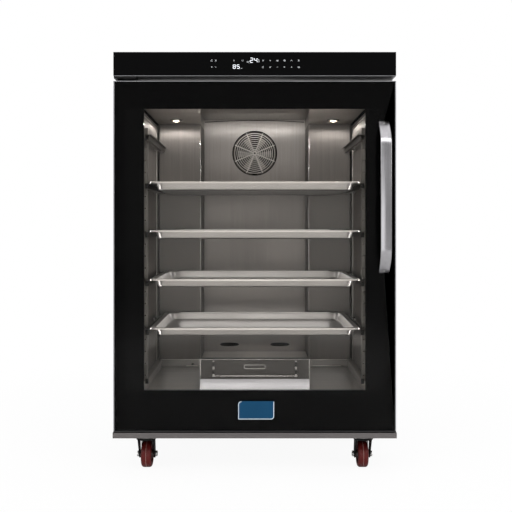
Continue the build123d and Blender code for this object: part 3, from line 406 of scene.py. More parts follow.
def make_stage():
    """Pale floor, near white to the camera: a little greyer close to the object than far off."""
    near, far, near_glow = 0.5, 1.6, 0.94
    mesh = bpy.data.meshes.new("floor")
    reach = 12.0
    mesh.from_pydata([(-reach, -reach, 0), (reach, -reach, 0), (reach, reach, 0), (-reach, reach, 0)], [],
                     [(0, 1, 2, 3)])
    floor = bpy.data.objects.new("floor", mesh)
    bpy.context.scene.collection.objects.link(floor)
    t = Tree("floor_paper")
    paper = t.add("BsdfDiffuse", Color=rgb(0.82, 0.82, 0.82)).outputs[0]
    white = t.add("Emission", Color=rgb(1, 1, 1), Strength=1.0).outputs[0]
    away = t.add("VectorMath", {"operation": "LENGTH"}, Vector=t.place).outputs["Value"]
    glow = t.math("MULTIPLY", seen_directly(t), t.remap(away, near, far, near_glow, 1.0))
    floor.data.materials.append(t.finish(blend(t, glow, paper, white)))


WORLD_LIGHT = 0.5


def make_world():
    """White to the camera and soft grey to the object."""
    world = bpy.data.worlds.new("studio")
    bpy.context.scene.world = world
    world.use_nodes = True
    tree = world.node_tree
    tree.nodes.clear()
    out = tree.nodes.new("ShaderNodeOutputWorld")
    shades = []
    for strength in (WORLD_LIGHT, 1.0):
        background = tree.nodes.new("ShaderNodeBackground")
        background.inputs["Color"].default_value = rgb(1, 1, 1)
        background.inputs["Strength"].default_value = strength
        shades.append(background.outputs[0])
    tree.links.new(blend(tree, seen_directly(tree), *shades), out.inputs["Surface"])


def aim(obj, target):
    """Turns a lamp's beam towards a point."""
    obj.rotation_euler = (Vector(target) - obj.location).to_track_quat("-Z", "Y").to_euler()


def soft_box(name, place, target, width, height, power):
    """White rectangular lamp."""
    data = bpy.data.lights.new(name, "AREA")
    data.shape = "RECTANGLE"
    data.size, data.size_y = width, height
    data.energy = power
    lamp = bpy.data.objects.new(name, data)
    lamp.location = place
    bpy.context.scene.collection.objects.link(lamp)
    aim(lamp, target)
    return lamp


def strip(name, place, target, width, height, power, lit=None):
    """Thin light bar inside the chamber, itself out of sight. lit is the collection that it shines on."""
    lamp = soft_box(name, place, target, width, height, power)
    lamp.visible_camera = False
    if lit:
        lamp.light_linking.receiver_collection = lit


# The studio's lamps: name, place, target, width and height in metres, power in watts
BOXES = (
    ("key_left", (-2.6, -2.4, 1.9), (0, 0, 0.6), 1.6, 1.6, 24),
    ("key_right", (2.6, -2.4, 1.9), (0, 0, 0.6), 1.6, 1.6, 27),
    ("front_top", (0, -2.3, 2.3), (0, 0, 0.55), 3.2, 0.6, 30),
    ("front_low", (0, -2.8, 0.35), (0, 0, 0.6), 1.2, 1.2, 7),
    ("overhead", (0, -0.6, 3.2), (0, -0.1, 0.6), 3.0, 3.0, 31),
    ("back", (0.6, 3.0, 2.4), (0, 0.2, 0.6), 2.0, 2.0, 25),
)
# The chamber's hidden bars, in the same order. BAR is the height of the thinnest
BAR = 0.006
BARS = (
    ("head_fill", (0, -0.292, 1.0255), (0, 0.3, 0.85), 0.56, BAR, 0.18),
    ("foot_fill", (0, -0.294, 0.2165), (0, 0.3, 0.33), 0.56, BAR, 0.05),
    ("channel_fill", (0, 0.15, 1.05), (0, 0.31, 1.0), 0.30, BAR, 0.1),
    ("floor_fill", (0, 0.125, 0.30), (0, -0.1, 0.22), 0.62, 0.04, 0.035),
    ("alcove_fill", (0, 0.14, 0.315), (0, 0.31, 0.30), 0.34, 0.02, 0.09),
)
# The bars over each tray, which light it alone: name, y, rise over the rim, the target's y and drop
# under the rim, width, height, power
TRAY_BARS = (
    ("pan_fill", 0.12, 0.03, -0.15, 0.02, 0.5, 0.04, 0.07),
    ("wall_fill", -0.017, 0.07, 0.11, 0.012, 0.5, 0.02, 0.05),
)
# The upright bars inside the front corners: x, y, the target's x and y, the height of both over the
# floor, the bar's height, power
CORNER_BAR = (0.3255, -0.262, 0.14, -0.35, 0.62, 0.76, 0.3)
# A ceiling lamp: inset from the lenses' side, drop under them, power of the beam and of the glow
LAMP_INSET, LAMP_DROP = 0.015, 0.012
BEAM_POWER, GLOW_POWER = 0.34, 0.02


def make_lights():
    """Studio lamps, hidden bars in the chamber and over the trays, and the two ceiling lamps' light."""
    for settings in BOXES:
        soft_box(*settings)
    for settings in BARS:
        strip(*settings)
    pans = bpy.data.collections.new("pans")
    for number in range(1, 5):
        pan = bpy.data.objects[f"tray_pan_{number}"]
        pans.objects.link(pan)
        own = bpy.data.collections.new(f"pan_{number}")
        own.objects.link(pan)
        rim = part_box(f"tray_{number}")[1].z
        for name, y, rise, to_y, drop, width, height, power in TRAY_BARS:
            strip(name, (0, y, rim + rise), (0, to_y, rim - drop), width, height, power, own)
    low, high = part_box("lamp_lenses")
    x, y, to_x, to_y, level, height, power = CORNER_BAR
    for side in (-1, 1):
        strip("corner_fill", (side * x, y, level), (side * to_x, to_y, level), BAR, height, power, pans)
        place = (side * (high.x - LAMP_INSET), (low.y + high.y) / 2, low.z - LAMP_DROP)
        ceiling_lamp("ceiling_beam", "AREA", place, BEAM_POWER)
        ceiling_lamp("ceiling_glow", "POINT", place, GLOW_POWER).visible_glossy = False


def ceiling_lamp(name, kind, place, power):
    """Warm light of a ceiling lamp, as a disc's beam or a round glow, itself out of sight."""
    beam_width, glow_radius = 0.026, 0.012
    data = bpy.data.lights.new(name, kind)
    data.energy = power
    data.color = (1.0, 0.97, 0.945)
    if kind == "AREA":
        data.shape = "DISK"
        data.size = beam_width
    else:
        data.shadow_soft_size = glow_radius
    lamp = bpy.data.objects.new(name, data)
    lamp.location = place
    lamp.visible_camera = False
    bpy.context.scene.collection.objects.link(lamp)
    return lamp


def make_camera():
    """Level camera in front, with the picture shifted instead of tilted, as in the photograph."""
    data = bpy.data.cameras.new("camera")
    data.lens = LENS
    data.sensor_width = SENSOR
    data.shift_x, data.shift_y = SHIFT
    camera = bpy.data.objects.new("camera", data)
    camera.location = CAMERA
    camera.rotation_euler = (math.pi / 2, 0, 0)
    bpy.context.scene.collection.objects.link(camera)
    bpy.context.scene.camera = camera


# ----------------------------------------------------------- mesh helpers (mm)

def add_piece(name, bm, finish, body, replaced=(), sharp=40.0):
    """Turns a bmesh in millimetres into a piece that rides on a body, smooth but for its sharp edges."""
    bmesh.ops.scale(bm, vec=(MM, MM, MM), verts=bm.verts)
    bmesh.ops.recalc_face_normals(bm, faces=bm.faces)
    for face in bm.faces:
        face.smooth = True
    for edge in bm.edges:
        edge.smooth = len(edge.link_faces) == 2 and edge.calc_face_angle(0.0) < math.radians(sharp)
    mesh = bpy.data.meshes.new(name)
    bm.to_mesh(mesh)
    bm.free()
    mesh.materials.append(finishes[finish])
    obj = bpy.data.objects.new(name, mesh)
    bpy.context.scene.collection.objects.link(obj)
    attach(obj, body)
    if replaced:
        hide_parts(*replaced)


def loft(bm, rings, caps=True):
    """Skin through rings of equal length, closed round each ring."""
    made = [[bm.verts.new(point) for point in ring] for ring in rings]
    for first, second in zip(made, made[1:]):
        count = len(first)
        for i in range(count):
            bm.faces.new((first[i], first[(i + 1) % count], second[(i + 1) % count], second[i]))
    if caps:
        bm.faces.new(made[0][::-1])
        bm.faces.new(made[-1])


def rounded_rectangle(half_x, half_y, radius):
    """Corner points of a rounded rectangle, counter-clockwise from the right side."""
    steps = 8
    points = []
    for corner, (sx, sy) in enumerate(((1, -1), (1, 1), (-1, 1), (-1, -1))):
        for step in range(steps + 1):
            turn = math.pi / 2 * (corner - 1 + step / steps)
            points.append((sx * (half_x - radius) + radius * math.cos(turn),
                           sy * (half_y - radius) + radius * math.sin(turn)))
    return points


def rounded_path(points, radius, steps):
    """A polyline with its inner corners rounded by a quadratic curve."""
    path = [points[0]]
    for before, here, after in zip(points, points[1:], points[2:]):
        a, b, c = Vector(before), Vector(here), Vector(after)
        reach = min(radius, (a - b).length / 2, (c - b).length / 2)
        start = b + (a - b).normalized() * reach
        end = b + (c - b).normalized() * reach
        for step in range(steps + 1):
            t = step / steps
            path.append(tuple((1 - t) ** 2 * start + 2 * t * (1 - t) * b + t * t * end))
    return path + [points[-1]]


def offset_path(path, distance):
    """The path moved sideways, to its left, by a distance."""
    moved = []
    for i, here in enumerate(path):
        before, after = Vector(path[max(i - 1, 0)]), Vector(path[min(i + 1, len(path) - 1)])
        along = (after - before).normalized()
        moved.append((here[0] - along.y * distance, here[1] + along.x * distance))
    return moved


# A lathe's profile that ends under AXIS_RADIUS ends on the axis, and points closer than MERGE are one
AXIS_RADIUS = 0.01
MERGE = 0.0005


def lathe(bm, profile, centre, axis, steps=48):
    """Solid of revolution. profile is (radius, along) pairs, and axis one of X, Y, Z.

    A profile that stays off the axis at both ends is closed into a ring.
    """
    rings = []
    for radius, along in profile:
        ring = []
        for step in range(steps):
            turn = 2 * math.pi * step / steps
            u, v = radius * math.cos(turn), radius * math.sin(turn)
            place = {"X": (along, u, v), "Y": (u, along, v), "Z": (u, v, along)}[axis]
            ring.append(tuple(c + p for c, p in zip(centre, place)))
        rings.append(ring)
    if min(profile[0][0], profile[-1][0]) > AXIS_RADIUS:
        rings.append(rings[0])
    loft(bm, rings, caps=False)
    bmesh.ops.remove_doubles(bm, verts=bm.verts, dist=MERGE)


def prism(bm, outline, axis, low, high):
    """Straight prism of a closed outline along an axis."""
    at = "XYZ".index(axis)
    loft(bm, [[(*point[:at], level, *point[at:]) for point in outline] for level in (low, high)])


def bevel_all(bm, width, segments, angle=30.0):
    """Rounds every edge that is sharper than the angle."""
    edges = [e for e in bm.edges if len(e.link_faces) == 2 and e.calc_face_angle(0.0) > math.radians(angle)]
    bmesh.ops.bevel(bm, geom=edges, offset=width, segments=segments, profile=0.5, affect="EDGES")


def bar(bm, x0, x1, y0, y1, z0, z1, edge, segments):
    """Box with rounded edges, added to a bmesh."""
    own = bmesh.new()
    prism(own, [(x0, y0), (x1, y0), (x1, y1), (x0, y1)], "Z", z0, z1)
    bmesh.ops.recalc_face_normals(own, faces=own.faces)
    bevel_all(own, edge, segments)
    join(bm, own)


def join(bm, other):
    """Moves another bmesh's geometry into bm."""
    mesh = bpy.data.meshes.new("joined")
    other.to_mesh(mesh)
    other.free()
    bm.from_mesh(mesh)
    bpy.data.meshes.remove(mesh)


def edges_of(node):
    """A node's lowest and highest corner in millimetres."""
    low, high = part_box(node)
    return low / MM, high / MM


# ------------------------------------------------------------------- the trays

TRAY_SHEET = 1.2
TRAY_FLANGE = 14.5
# Half of the tray's section, as (inset from the flange's edge, rise over its top)
TRAY_SECTION = [(0.7, -5.0), (0.7, -0.9), (1.6, 0.0), (TRAY_FLANGE - 1.5, 0.0), (TRAY_FLANGE + 1.0, -1.6),
                (TRAY_FLANGE + 7.5, -22.0), (TRAY_FLANGE + 13.0, -23.8), (60.0, -23.8)]


def tray_corner(inset):
    """Corner radius of the tray: small at the flange's edge and large where the wall begins."""
    if inset < TRAY_FLANGE:
        return 11.0 + inset * 0.75
    return max(10.0, 22.0 - (inset - TRAY_FLANGE) * 0.6)


def make_tray(number):
    """Pressed pan with a hemmed flange and soft bends, for the plain CAD tray."""
    low, high = edges_of(f"tray_{number}")
    centre = (low + high) / 2
    half_x, half_y = (high.x - low.x) / 2, (high.y - low.y) / 2
    top = rounded_path(TRAY_SECTION, 3.0, 5)
    under = offset_path(top, -TRAY_SHEET)
    rings = []
    for inset, rise in under[::-1] + top:
        inset = max(inset, 0.0)
        ring = rounded_rectangle(half_x - inset, half_y - inset, tray_corner(inset))
        rings.append([(centre.x + x, centre.y + y, high.z + rise) for x, y in ring])
    bm = bmesh.new()
    loft(bm, rings)
    add_piece(f"tray_pan_{number}", bm, "tray", f"tray_{number}", [f"tray_{number}"])


# ------------------------------------------------------------------- the door

def make_handle():
    """Bow of flat strip with rounded bends and edges."""
    low, high = edges_of("door_handle")
    thickness, root, slant, lag = 4.0, 16.0, 48.0, 2
    outer_bend, inner_bend, edge, steps = 24.0, 18.0, 1.8, 12
    outer = rounded_path([(high.y, low.z), (low.y, low.z + slant), (low.y, high.z - slant), (high.y, high.z)],
                         outer_bend, steps)
    face = low.y + thickness
    inner = rounded_path([(high.y, low.z + root), (face, low.z + slant + lag), (face, high.z - slant - lag),
                          (high.y, high.z - root)], inner_bend, steps)
    bm = bmesh.new()
    prism(bm, outer + inner[::-1], "X", low.x, high.x)
    bmesh.ops.recalc_face_normals(bm, faces=bm.faces)
    bevel_all(bm, edge, 3, 50.0)
    add_piece("handle_bow", bm, "handle", "door", ["door_handle"], 30.0)


def make_door_foot_shade():
    """Black strip along the foot of the door's frame: painted shade for the dark gap over the base."""
    low, high = edges_of("door_frame")
    glass_foot = edges_of("door_glass_front")[0].z
    inset, thickness, overlap, edge = 0.5, 0.6, 0.4, 0.2
    bm = bmesh.new()
    bar(bm, low.x + inset, high.x - inset, low.y - thickness, low.y - FINE_GAP, low.z + FINE_GAP,
        glass_foot + overlap, edge, 1)
    add_piece("door_foot_shade", bm, "seal", "door")


def make_badge_hem():
    """White hem along the plain plate's rounded corner, left side, foot and right side."""
    low, high = edges_of("door_badge")
    corner, hem, inset, thickness, steps = 9.0, 2.0, 0.4, 0.35, 8
    turn = [math.pi / 2 * step / steps for step in range(steps + 1)]

    def path(by):
        x0, x1, z0, z1, r = low.x + by, high.x - by, low.z + by, high.z - by, corner - by
        first = [(x0 + r - r * math.sin(a), z1 - r + r * math.cos(a)) for a in turn]
        second = [(x1 - r + r * math.sin(a), z0 + r - r * math.cos(a)) for a in turn]
        return first + [(x0, z0)] + second + [(x1, z1)]

    bm = bmesh.new()
    prism(bm, path(inset) + path(hem)[::-1], "Y", low.y - thickness, low.y + GAP)
    add_piece("badge_hem", bm, "enamel", "door")


# ------------------------------------------------------------- the humidifier

def make_humidifier_front():
    """Polished foot plate, bright hems round the housing's front and the lip under the drawer's."""
    low, high = edges_of("humidifier_housing")
    front = low.y
    drawer_low, drawer_high = edges_of("water_drawer")
    face = drawer_low.y
    foot_top = drawer_low.z - 8.0
    plate = bmesh.new()
    bar(plate, low.x, high.x, front - 0.8, front - GAP, low.z + 0.5, foot_top, 0.3, 1)
    add_piece("humidifier_foot_plate", plate, "polished", "cabinet")
    width, thickness, turned_in = 2.0, 0.9, 4.0
    hems = bmesh.new()
    bar(hems, low.x, high.x, front - thickness, front + turned_in, high.z - 0.4, high.z + thickness, 0.4, 2)
    for side in (-1, 1):
        x = side * (high.x - width / 2)
        bar(hems, x - width / 2, x + width / 2, front - thickness, front - GAP, foot_top + 1.5, high.z - 0.5,
            0.3, 1)
    add_piece("humidifier_hems", hems, "bright", "cabinet")
    height, depth, inset = 2.0, 2.0, 0.5
    foot = drawer_low.z + 0.2
    lip = bmesh.new()
    bar(lip, drawer_low.x + inset, drawer_high.x - inset, face - depth, face - FINE_GAP, foot, foot + height,
        0.8, 3)
    add_piece("drawer_lip", lip, "bright", "drawer")


def make_drawer_clips():
    """Two toggle clips beside the drawer's front: head, knee and foot in steel, with two dark catches."""
    # Rise over the drawer's middle, height and depth of each steel part, then of each catch
    steel_parts = ((20.5, 4.0, 1.6), (1.0, 8.0, 3.4), (-20.5, 8.0, 2.2))
    catch_parts = ((11.5, 10.0, 2.0), (-10.6, 10.0, 2.0))
    clip_width, catch_width = 6.0, 5.4
    drawer_low, drawer_high = edges_of("water_drawer")
    face = drawer_low.y
    middle = (drawer_low.z + drawer_high.z) / 2
    steel, catches = bmesh.new(), bmesh.new()
    for side in (-1, 1):
        x = side * (drawer_high.x - clip_width)
        for bm, parts, width, edge in ((steel, steel_parts, clip_width, (0.8, 3)),
                                       (catches, catch_parts, catch_width, (0.6, 2))):
            for rise, height, depth in parts:
                bar(bm, x - width / 2, x + width / 2, face - depth, face - GAP, middle + rise - height / 2,
                    middle + rise + height / 2, *edge)
    add_piece("drawer_clips", steel, "zinc", "drawer")
    add_piece("drawer_catches", catches, "plug", "drawer")


def make_slot_rim():
    """Rolled rim round the drawer's pull slot."""
    low, high = edges_of("water_drawer")
    half_x, half_z, corner, drop = 31.0, 6.2, 5.0, 18.5
    middle = high.z - drop
    rings = []
    for inset, back in ((0.0, -0.05), (0.3, -1.0), (1.3, -1.0), (1.8, -0.2), (1.8, 1.2)):
        ring = rounded_rectangle(half_x - inset, half_z - inset, corner - inset)
        rings.append([(x, low.y + back, middle + z) for x, z in ring])
    bm = bmesh.new()
    loft(bm, rings, caps=False)
    add_piece("drawer_slot_rim", bm, "bright", "drawer")


# ------------------------------------------------------------------ the chamber

def make_alcove_hems():
    """Bright folded edges where the back panels turn into the alcove."""
    low, high = edges_of("alcove_sides")
    half_width, thickness, inset, edge = 1.1, 1.6, 0.4, 0.6
    bm = bmesh.new()
    for side in (-1, 1):
        x = side * (high.x - inset)
        bar(bm, x - half_width, x + half_width, low.y - thickness, low.y - GAP, low.z + 1, high.z - 1,
            edge, 2)
    add_piece("alcove_hems", bm, "bright", "cabinet")


def make_wall_beads():
    """Bright bead along the top and back of each side wall's panel, and a dark strip along the ceiling's
    edge.
    """
    low, high = edges_of("chamber_wall_right")
    panel_top, panel_back = high.z - 16.0, low.y + 408.0
    width, thickness, seam, seam_tail, inset = 3.0, 2.0, 6.0, 16, 2
    for name, side in (("left", -1), ("right", 1)):
        face = side * low.x
        xs = sorted((face, face - side * thickness))
        beads = bmesh.new()
        bar(beads, *xs, low.y + inset, panel_back, panel_top - width, panel_top, 0.8, 2)
        bar(beads, *xs, panel_back - width, panel_back, low.z + inset, panel_top, 0.8, 2)
        add_piece(f"wall_bead_{name}", beads, "bead", "cabinet")
        xs = sorted((face, face - side * seam))
        seams = bmesh.new()
        bar(seams, *xs, low.y + inset, panel_back + seam_tail, high.z - seam, high.z - GAP, 2.0, 2)
        add_piece(f"ceiling_seam_{name}", seams, "void", "cabinet")


def make_floor_hardware():
    """Rivets along the floor's ledges, bright hems under the baffles and a screw on the left one, and short
    bright bars at the baffles' foot as painted highlights.
    """
    low, high = edges_of("chamber_floor")
    baffle_low, baffle_high = edges_of("back_panels")
    alcove_half = edges_of("alcove_sides")[1].x
    rivet_count, rivet_pitch, rivet_setback, rivet_inset = 15, 27.0, 24.0, 19.5
    front_head, small_head = 5.5, 3.2
    rivets = bmesh.new()
    for side in (-1, 1):
        x = side * (high.x - rivet_inset)
        for index in range(rivet_count):
            y = low.y + rivet_setback + index * rivet_pitch
            head = front_head if index == 0 else small_head
            dome = [(0.0, head * 0.45), (head * 0.6, head * 0.36), (head, 0.0)]
            lathe(rivets, dome, (x, y, high.z), "Z", 16)
    add_piece("floor_rivets", rivets, "bead", "cabinet")
    hems = bmesh.new()
    for side, highlight_from, highlight_to in ((-1, -232.0, -192.0), (1, 196.0, 292.0)):
        xs = sorted((side * (alcove_half + 1), side * (baffle_high.x - 1)))
        bar(hems, *xs, baffle_low.y - 1.4, baffle_low.y - GAP, high.z - 0.8, high.z + 1.2, 0.5, 2)
        # Short bright bars at the baffles' foot: painted highlights
        bar(hems, highlight_from, highlight_to, baffle_low.y - 3.0, baffle_low.y - 0.2, low.z + 4.0, low.z + 7.0,
            0.8, 2)
    add_piece("floor_hems_and_highlights", hems, "bead", "cabinet")
    screw_x, screw_rise = -210.0, 10
    screw = bmesh.new()
    dome = [(0.0, -2.2), (2.6, -1.8), (4.2, -0.1)]
    lathe(screw, dome, (screw_x, baffle_low.y, low.z + screw_rise), "Y", 20)
    add_piece("floor_screw", screw, "plug", "cabinet")


def make_slot_shades():
    """Flat dark plates as painted shade in the two air slots low in the alcove, each with a bright pressed
    lip.
    """
    low = edges_of("alcove_back")[0]
    half_x, half_z, rise, offset = 34.5, 6.6, 24.0, 91.0
    lip, lip_drop, bluntness, steps = 1.0, 0.6, 0.8, 40
    turns = [2 * math.pi * step / steps for step in range(steps)]
    shade_plates, lips = bmesh.new(), bmesh.new()
    for side in (-1, 1):
        x, z = side * offset, low.z + rise
        outline = []
        for turn in turns:
            reach = math.copysign(abs(math.cos(turn)) ** bluntness, math.cos(turn))
            outline.append((x + half_x * reach, z + half_z * math.sin(turn)))
        prism(shade_plates, outline, "Y", low.y - 0.5, low.y - GAP)
        under = [(x + (half_x + lip) * math.cos(turn), z - lip_drop + (half_z + lip) * math.sin(turn))
                 for turn in turns]
        prism(lips, under, "Y", low.y - 0.3, low.y - FINE_GAP)
    add_piece("slot_shades", shade_plates, "void", "cabinet")
    add_piece("slot_lips", lips, "alcove", "cabinet")


def make_channel_dark_arch():
    """Dark arched strip where the ceiling's channel meets the alcove's back."""
    low, high = edges_of("alcove_back")
    half, sag, weight, drop, steps = high.x - 3.0, 6.5, 2.2, 1.0, 24
    points = [-half + 2 * half * step / steps for step in range(steps + 1)]
    arch = [(x, high.z - drop - sag * (x / half) ** 2) for x in points]
    under = [(x, z - weight) for x, z in arch]
    bm = bmesh.new()
    prism(bm, arch + under[::-1], "Y", low.y - 1.6, low.y - 0.2)
    add_piece("channel_dark_arch", bm, "void", "cabinet")


def make_lamp_domes():
    """Frosted dome under each ceiling lamp and the lamp's rolled bezel."""
    dome = [(0.0, -3.4), (3.5, -3.2), (7.0, -2.3), (9.4, -0.9), (10.4, 0.9)]
    ring = [(14.4, 0.6), (15.4, -0.9), (17.6, -1.2), (19.6, 0.2), (20.2, 2.4), (14.4, 2.4)]
    low, high = edges_of("lamp_bezels")
    radius = 20.0
    middle = (low.y + high.y) / 2
    domes, rings = bmesh.new(), bmesh.new()
    for side in (-1, 1):
        centre = (side * (high.x - radius), middle, low.z)
        lathe(domes, dome, centre, "Z", 40)
        lathe(rings, ring, centre, "Z")
    add_piece("lamp_domes", domes, "lamp", "cabinet")
    add_piece("lamp_rings", rings, "bright", "cabinet")


def make_grille_shadow():
    """Painted shadow round the fan's grille: a dark ring at its rim, and a dark screw in its middle."""
    low, high = edges_of("fan_grille")
    middle = (low + high) / 2
    radius = (high.x - low.x) / 2
    bm = bmesh.new()
    centre = (middle.x, low.y, middle.z)
    rim_shadow = [(3.2, 0.4), (3.0, -0.3), (1.6, -0.7), (0.2, -0.4), (0.0, 0.4)]
    screw = [(0.0, -0.9), (2.0, -0.8), (3.4, -0.3), (3.6, 0.3), (0.0, 0.3)]
    lathe(bm, [(radius - inset, along) for inset, along in rim_shadow], centre, "Y", 72)
    lathe(bm, screw, centre, "Y", 32)
    add_piece("grille_shadow", bm, "void", "cabinet")


def make_runner_end_shades():
    """Dark plates in the open front ends of the runner tubes: painted shade for their hollow insides."""
    tube_height, tube_width, tube_drop, levels = 15.0, 10.0, 5.3, 5
    inset, thickness, edge = 0.4, 1.4, 0.8
    rims = [edges_of(f"tray_{number}")[1].z for number in (1, 2)]
    pitch = rims[0] - rims[1]
    for name, side in (("left", -1), ("right", 1)):
        low, high = edges_of(f"rack_runners_{name}")
        outer = max(abs(low.x), abs(high.x))
        xs = sorted((side * (outer - inset), side * (outer - tube_width + inset)))
        bm = bmesh.new()
        for level in range(levels):
            top = rims[0] - level * pitch - tube_drop
            bar(bm, *xs, low.y - thickness, low.y - FINE_GAP, top - tube_height + inset, top - inset, edge, 2)
        add_piece(f"runner_end_shades_{name}", bm, "plug", "cabinet")


# ------------------------------------------------------------------ the casters

TYRE_WIDTH = 29.5
TYRE_DEPTH = 11.0
SHOULDER = 7.0
# How far the crown stays inside the parting line, which alone touches the floor
CROWN_DROP = 0.2


def mirrored(half_profile):
    """A lathe's profile from its negative half."""
    return half_profile + [(radius, -along) for radius, along in half_profile[::-1]]


def make_wheel(corner):
    """Rounded tyre with its parting line, and the dark hub, for the plain CAD wheel."""
    low, high = edges_of(f"caster_wheel_{corner}")
    centre = (low + high) / 2
    radius, half, boss = (high.z - low.z) / 2, TYRE_WIDTH / 2, (high.x - low.x) / 2
    bore, boss_radius, web_radius = 4.2, 10.0, 12.5
    body = f"wheel_{corner}"
    hub_radius = radius - TYRE_DEPTH
    crown_radius = radius - CROWN_DROP
    steps = 6
    shoulder = []
    for step in range(steps + 1):
        turn = math.pi / 2 * step / steps
        shoulder.append((crown_radius - SHOULDER + SHOULDER * math.sin(turn),
                         -(half - SHOULDER + SHOULDER * math.cos(turn))))
    tyre = bmesh.new()
    lathe(tyre, mirrored([(hub_radius, -half + 3), (hub_radius + 2, -half + 1)] + shoulder), centre, "X")
    add_piece(f"tyre_{corner}", tyre, "tyre", body, [f"caster_wheel_{corner}"], 50.0)
    line = bmesh.new()
    lathe(line, mirrored([(radius - 1.0, -0.7), (radius, -0.5)]), centre, "X")
    add_piece(f"tyre_line_{corner}", line, "parting", body)
    hub = bmesh.new()
    lathe(hub, mirrored([(bore, -boss), (boss_radius, -boss), (boss_radius + 1.5, -boss + 1.5),
                         (web_radius, -half + 4), (hub_radius - 3, -half + 6),
                         (hub_radius + 0.2, -half + 3.2)]), centre, "X")
    add_piece(f"hub_{corner}", hub, "hub", body)


def make_fork_dress(corner):
    """Bright axle nuts on a fork, and the web behind its legs."""
    low, high = edges_of(f"caster_wheel_{corner}")
    centre = (low + high) / 2
    fork_low, fork_high = edges_of(f"caster_fork_{corner}")
    nut_radius, nut_height, nut_edge = 8.4, 5.6, 0.8
    hexagon = [(centre.y + nut_radius * math.cos(turn), centre.z + nut_radius * math.sin(turn))
               for turn in [math.pi / 3 * step for step in range(6)]]
    nuts = bmesh.new()
    for side, outer in ((-1, fork_low.x), (1, fork_high.x)):
        inner = outer - side * nut_height
        own = bmesh.new()
        prism(own, hexagon, "X", min(outer, inner), max(outer, inner))
        bmesh.ops.recalc_face_normals(own, faces=own.faces)
        bevel_all(own, nut_edge, 2)
        join(nuts, own)
    add_piece(f"axle_nuts_{corner}", nuts, "bright", f"fork_{corner}")
    web = bmesh.new()
    top = fork_high.z - 1.0
    half_width, drop, setback, thickness = 18.5, 38.0, 8.0, 2.0
    outline = [(-half_width, top - drop), (-half_width, top), (half_width, top), (half_width, top - drop),
               (13.5, top - 26), (8.0, top - 10), (-8.0, top - 10), (-13.5, top - 26)]
    back = centre.y + setback
    prism(web, [(centre.x + x, z) for x, z in outline], "Y", back, back + thickness)
    bmesh.ops.recalc_face_normals(web, faces=web.faces)
    add_piece(f"fork_web_{corner}", web, "bright", f"fork_{corner}")


# --------------------------------------------------------- signs on the controls

# The bars of each lit figure, lettered clockwise from the top, with g across the middle
SEGMENTS = {"2": "abged", "4": "fgbc", "8": "abcdefg", "5": "afgcd"}
SIGN_SIZE, SIGN_WEIGHT, SIGN_LEVEL = 2.3, 0.6, 1.7


def stroke(bm, start, end, width, y):
    """Flat bar between two points of the control glass."""
    a, b = Vector(start), Vector(end)
    side = Vector((-(b - a).y, (b - a).x)).normalized() * width / 2
    corners = [a + side, b + side, b - side, a - side]
    bm.faces.new([bm.verts.new((corner.x, y, corner.y)) for corner in corners])


def digit(bm, character, x, z, width, height, weight, y):
    """Lit figure of a display, from its seven bars, with a gap at each bar's ends."""
    half = height / 2
    gap = weight * 0.55
    ends = {"a": ((x, z + height), (x + width, z + height)), "g": ((x, z + half), (x + width, z + half)),
            "d": ((x, z), (x + width, z)), "f": ((x, z + half), (x, z + height)),
            "b": ((x + width, z + half), (x + width, z + height)), "e": ((x, z), (x, z + half)),
            "c": ((x + width, z), (x + width, z + half))}
    for bar_name in SEGMENTS[character]:
        a, b = Vector(ends[bar_name][0]), Vector(ends[bar_name][1])
        along = (b - a).normalized() * gap
        stroke(bm, a + along, b - along, weight, y)


def round_sign(bm, x, z, radius, y, start, turn):
    """Ring or part of a ring, from flat bars that overlap a little."""
    steps, overlap = 14, 1.15
    for step in range(steps):
        angles = [start + turn * at / steps for at in (step, step + overlap)]
        stroke(bm, *[(x + radius * math.cos(angle), z + radius * math.sin(angle)) for angle in angles],
               SIGN_WEIGHT, y)


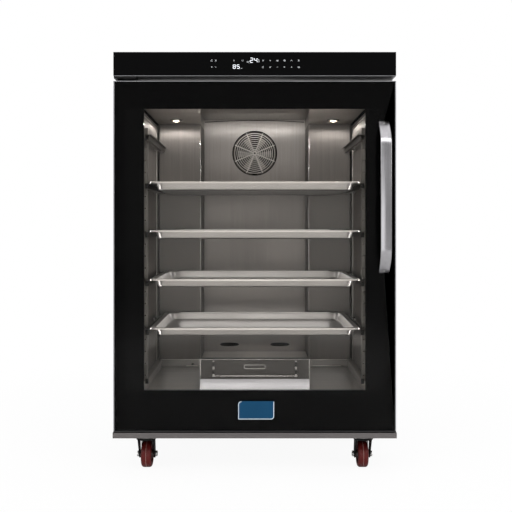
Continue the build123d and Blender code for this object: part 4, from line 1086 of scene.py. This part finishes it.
def sign(bm, kind, x, z, y):
    """One small generic touch sign, about 5 mm across: a ring, arc, cross, bar, arrow or three lines."""
    size, short, low = SIGN_SIZE, SIGN_SIZE * 0.8, SIGN_SIZE * 0.6
    rings = {"o": (low, 0, 2 * math.pi), "O": (size, 0, 2 * math.pi), "c": (size, 0.6, 5.0),
             "s": (size, 2.2, 5.0)}
    if kind in rings:
        radius, start, turn = rings[kind]
        round_sign(bm, x, z, radius, y, start, turn)
    if kind in "O+-s":
        stroke(bm, (x - short, z), (x + short, z), SIGN_WEIGHT, y)
    if kind == "+":
        stroke(bm, (x, z - short), (x, z + short), SIGN_WEIGHT, y)
    if kind in "^v":
        way = 1 if kind == "^" else -1
        for side in (-1, 1):
            stroke(bm, (x + side * size, z - way * low), (x, z + way * short), SIGN_WEIGHT, y)
    if kind == "=":
        for level in (-SIGN_LEVEL, 0, SIGN_LEVEL):
            stroke(bm, (x - size, z + level), (x + size, z + level), SIGN_WEIGHT * 0.8, y)


def make_signs():
    """Display figures and two rows of touch signs on the control glass."""
    low, high = edges_of("control_glass")
    lift, row_rise = 0.12, 9.0
    y = low.y - lift
    centre_z = (low.z + high.z) / 2
    # Characters, x of the first, their pitch, rise of the foot, width, height and weight
    displays = (("24", -12.5, 11.6, 3.6, 7.4, 12.4, 1.3), ("85", -59.4, 10.6, -12.8, 6.8, 10.2, 1.2))
    figures = bmesh.new()
    for characters, x, pitch, rise, width, height, weight in displays:
        for index, character in enumerate(characters):
            digit(figures, character, x + index * pitch, centre_z + rise, width, height, weight, y)
    add_piece("display_figures", figures, "display", "cabinet")
    signs = bmesh.new()
    upper, lower = centre_z + row_rise, centre_z - row_rise
    # Row, signs from left to right, x of the first and their pitch
    rows = ((upper, "o+sO^=", 23.0, 19.6), (lower, "cv-o+s", 23.0, 19.6), (upper, "c=", -118.0, 10.8),
            (lower, "o-", -118.0, 10.8))
    for row, kinds, x, pitch in rows:
        for index, kind in enumerate(kinds):
            sign(signs, kind, x + index * pitch, row, y)
    singles = ((-57.0, upper, "+"), (-34.0, upper, "v"), (-19.0, upper - 4, "="), (11.5, upper + 2, "o"),
               (11.5, upper - 3, "o"), (-36.5, lower - 4, "-"))
    for x, row, kind in singles:
        sign(signs, kind, x, row, y)
    add_piece("touch_signs", signs, "sign_print", "cabinet")


paint_nodes()
for number in range(1, 5):
    make_tray(number)
make_handle()
make_door_foot_shade()
make_badge_hem()
make_humidifier_front()
make_drawer_clips()
make_slot_rim()
make_alcove_hems()
make_runner_end_shades()
make_wall_beads()
make_floor_hardware()
make_slot_shades()
make_channel_dark_arch()
make_lamp_domes()
make_grille_shadow()
for corner in CORNERS:
    make_wheel(corner)
    make_fork_dress(corner)
make_signs()
make_stage()
make_world()
make_lights()
make_camera()
bpy.context.scene.view_settings.view_transform = "Standard"
